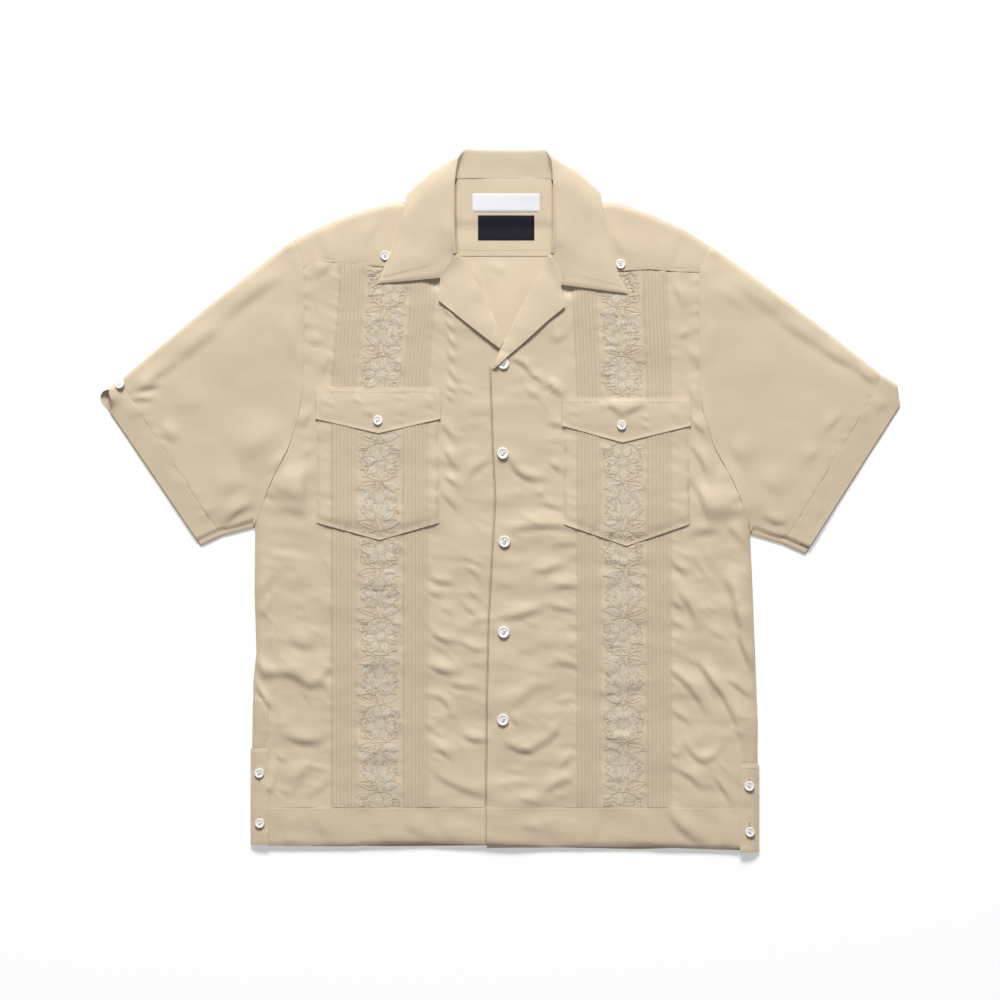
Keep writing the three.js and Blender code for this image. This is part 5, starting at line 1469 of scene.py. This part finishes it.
WHITE_LABEL = woven_label("white damask label", (0.82, 0.83, 0.85), mottle=0.03)
BLACK_LABEL = woven_label("black damask label", (0.014, 0.014, 0.022), roughness=0.6, mottle=0.1, specular=0.12)
WHITE_THREAD = cloth_material("white thread", (0.72, 0.72, 0.72), roughness=0.4, sheen=0.0, bump=0.0)
for name, cloth, slot, thread, left, right, foot, top in (
    ("upper_label", WHITE_LABEL, "white_label", WHITE_THREAD, -30.2, 42.3, 311.6, 331.0),
    ("lower_label", BLACK_LABEL, "black_label", BLACK_LABEL, -24.3, 36.6, 280.9, 307.6),
):
    outline = [(left, foot), (right, foot), (right, top), (left, top)]

    def label_face(x, y, outline=outline):
        return yoke_inside(x, y) + 0.75 - 0.35 * at_edge(x, y, outline, 0.9)

    label = cut_piece(name, outline, label_face, cloth, 2.5, 2.0, edge_step=2, thickness=0.35, slot=slot)
    loop = [(x + (1.6 if x == left else -1.6), y + (1.6 if y == foot else -1.6)) for x, y in outline]
    line = laid(loop + loop[:1], label_face, 0.06)
    sewn = stitched(f"{name}_stitches", [line], pitch=2.2, length=1.7, width=0.35, seed=31, thread=thread)
    declare_sheet(label, outline, rests_on=["yoke"], with_pieces=[sewn])

# ---------------------------------------------------------------- Buttons
# Pearly white four-hole buttons with a turned rim, sewn through with white thread. Each front button's
# hole in the overlapping front is hidden under it.
PEARL = bpy.data.materials.new("white pearl polyester")
PEARL.use_nodes = True
pearl_nodes = PEARL.node_tree
pearl = pearl_nodes.nodes["Principled BSDF"]
place = node(pearl_nodes, "ShaderNodeTexCoord")
clouded = {"Vector": place.outputs["Object"], "Scale": 210.0, "Detail": 3.0, "Distortion": 1.2}
cloud = node(pearl_nodes, "ShaderNodeTexNoise", clouded)
lustre = node(pearl_nodes, "ShaderNodeValToRGB", {"Fac": cloud.outputs[0]})
stops = ((0.35, (0.76, 0.74, 0.70, 1)), (0.65, (0.90, 0.89, 0.87, 1)))
for stop, (place, colour) in zip(lustre.color_ramp.elements, stops):
    stop.position, stop.color = place, colour
pearl_nodes.links.new(lustre.outputs[0], pearl.inputs["Base Color"])
pearl.inputs["Roughness"].default_value = 0.28
pearl.inputs["Coat Weight"].default_value = 0.4
FRONT_BUTTON = dict(radius=6.3, thickness=2.2)
SMALL_BUTTON = dict(radius=5.2, thickness=1.8)


def circle(cx, cy, r, count):
    turns = [2 * math.pi * k / count for k in range(count)]
    return [(cx + r * math.cos(a), cy + r * math.sin(a)) for a in turns]


def button_mesh(radius, thickness):
    """Points and triangles of a button's upper face, round its four holes, on a base at height 0."""
    spread = radius * 0.23
    circles = [(0, 0, radius, 40)] + [(dx * spread, dy * spread, radius * 0.1, 12) for dx in (1, -1) for dy in (1, -1)]
    flat, edges = [], []
    for cx, cy, r, count in circles:
        first = len(flat)
        flat += circle(cx, cy, r, count)
        edges += [(first + k, first + (k + 1) % count) for k in range(count)]
    for r, count in ((0.95, 40), (0.88, 36), (0.8, 32), (0.72, 30), (0.66, 28), (0.58, 24), (0.46, 18)):
        flat += circle(0, 0, radius * r, count)
    found = delaunay_2d_cdt([Vector(p) for p in flat], edges, [list(range(40))], 1, 1e-6)
    points, triangles = np.array([tuple(v) for v in found[0]]), np.array(found[2])
    middle = points[triangles].mean(axis=1)
    hole = np.zeros(len(triangles), bool)
    for cx, cy, r, count in circles[1:]:
        hole |= np.hypot(middle[:, 0] - cx, middle[:, 1] - cy) < r * 0.9
    triangles = facing_up(points, triangles[~hole])
    share = np.hypot(points[:, 0], points[:, 1]) / radius
    z = thickness * np.interp(share, [0, 0.58, 0.68, 0.78, 0.9, 0.96, 1.0], [0.66, 0.68, 0.8, 0.98, 1.0, 0.9, 0.55])
    return np.column_stack([points, z]), triangles


def put_button(name, x, y, z, radius, thickness, turn=0.0, lean=(0, 0, 1)):
    points, triangles = button_mesh(radius, thickness)
    count = len(points)
    base = points.copy()
    base[:, 2] = 0
    faces = thin_body(triangles, count)
    # Two bridges of thread between the holes, nine rings of six points each.
    thread_points, thread_faces = [], []
    for sign in (1, -1):
        spread = 0.23 * radius
        for k in range(9):
            t = k / 8
            height = thickness * (0.45 + 0.75 * math.sin(math.pi * t) ** 0.5)
            at = np.array([(-1 + 2 * t) * spread, sign * spread, height])
            ring = [at + (0, 0.42 * math.cos(a), 0.42 * math.sin(a)) for a in np.linspace(0, 2 * math.pi, 7)[:-1]]
            if k:
                first = len(thread_points) - 6
                pairs = [(first + m, first + (m + 1) % 6) for m in range(6)]
                thread_faces += [(a, b, b + 6, a + 6) for a, b in pairs]
            thread_points += ring
        last = len(thread_points)
        thread_faces += [tuple(range(last - 6, last)), tuple(range(last - 54 + 5, last - 54 - 1, -1))]
    everything = np.vstack([points, base, np.array(thread_points)])
    up = Vector(lean).normalized()
    spin = Vector((0, 0, 1)).rotation_difference(up).to_matrix() @ Matrix.Rotation(turn, 3, "Z")
    everything = everything @ np.array(spin).T + np.array([x, y, z])
    made = link_mesh(name, everything, faces + [tuple(i + 2 * count for i in f) for f in thread_faces], PEARL)
    made.data.materials.append(WHITE_THREAD)
    for polygon in list(made.data.polygons)[len(faces):]:
        polygon.material_index = 1
    finish_piece(made, name, slot="button")
    return made


def rest_height(face, x, y, radius):
    a = np.linspace(0, 2 * np.pi, 24)
    return float(np.max(face(x + 0.85 * radius * np.cos(a), y + 0.85 * radius * np.sin(a))))


def on_vent(x, y):
    return vent_face(x, y) + 0.5


for name, x, y, face, size in (
    ("front_button_1", *FIRST_BUTTON, outer_face, FRONT_BUTTON),
    ("front_button_2", 2.7, 50.8, outer_face, FRONT_BUTTON),
    ("front_button_3", 4.3, -44.3, outer_face, FRONT_BUTTON),
    ("front_button_4", 3.5, -142, outer_face, FRONT_BUTTON),
    ("front_button_5", 2.7, -236.5, outer_face, FRONT_BUTTON),
    ("right_flap_button", -132.3, 86.4, lambda x, y: flap_face(x, y, POCKETS[0]), SMALL_BUTTON),
    ("left_flap_button", 130.6, 81.2, lambda x, y: flap_face(x, y, POCKETS[1]), SMALL_BUTTON),
    ("right_yoke_button", -124.2, 264, yoke_face, SMALL_BUTTON),
    ("left_yoke_button", 129.6, 255, yoke_face, SMALL_BUTTON),
    ("right_vent_button_1", -260, -294, on_vent, SMALL_BUTTON),
    ("right_vent_button_2", -259.5, -347.9, on_vent, SMALL_BUTTON),
    ("left_vent_button_1", 268.2, -308, on_vent, SMALL_BUTTON),
    ("left_vent_button_2", 269, -357.5, on_vent, SMALL_BUTTON),
):
    put_button(name, x, y, rest_height(face, x, y, size["radius"]) + 0.1, **size, turn=0.37 * len(name) + 0.2 * x)
put_button("right_cuff_button", -410.6, 125.2, 4.9, **SMALL_BUTTON, lean=(-0.547, 0.838, 2.1))
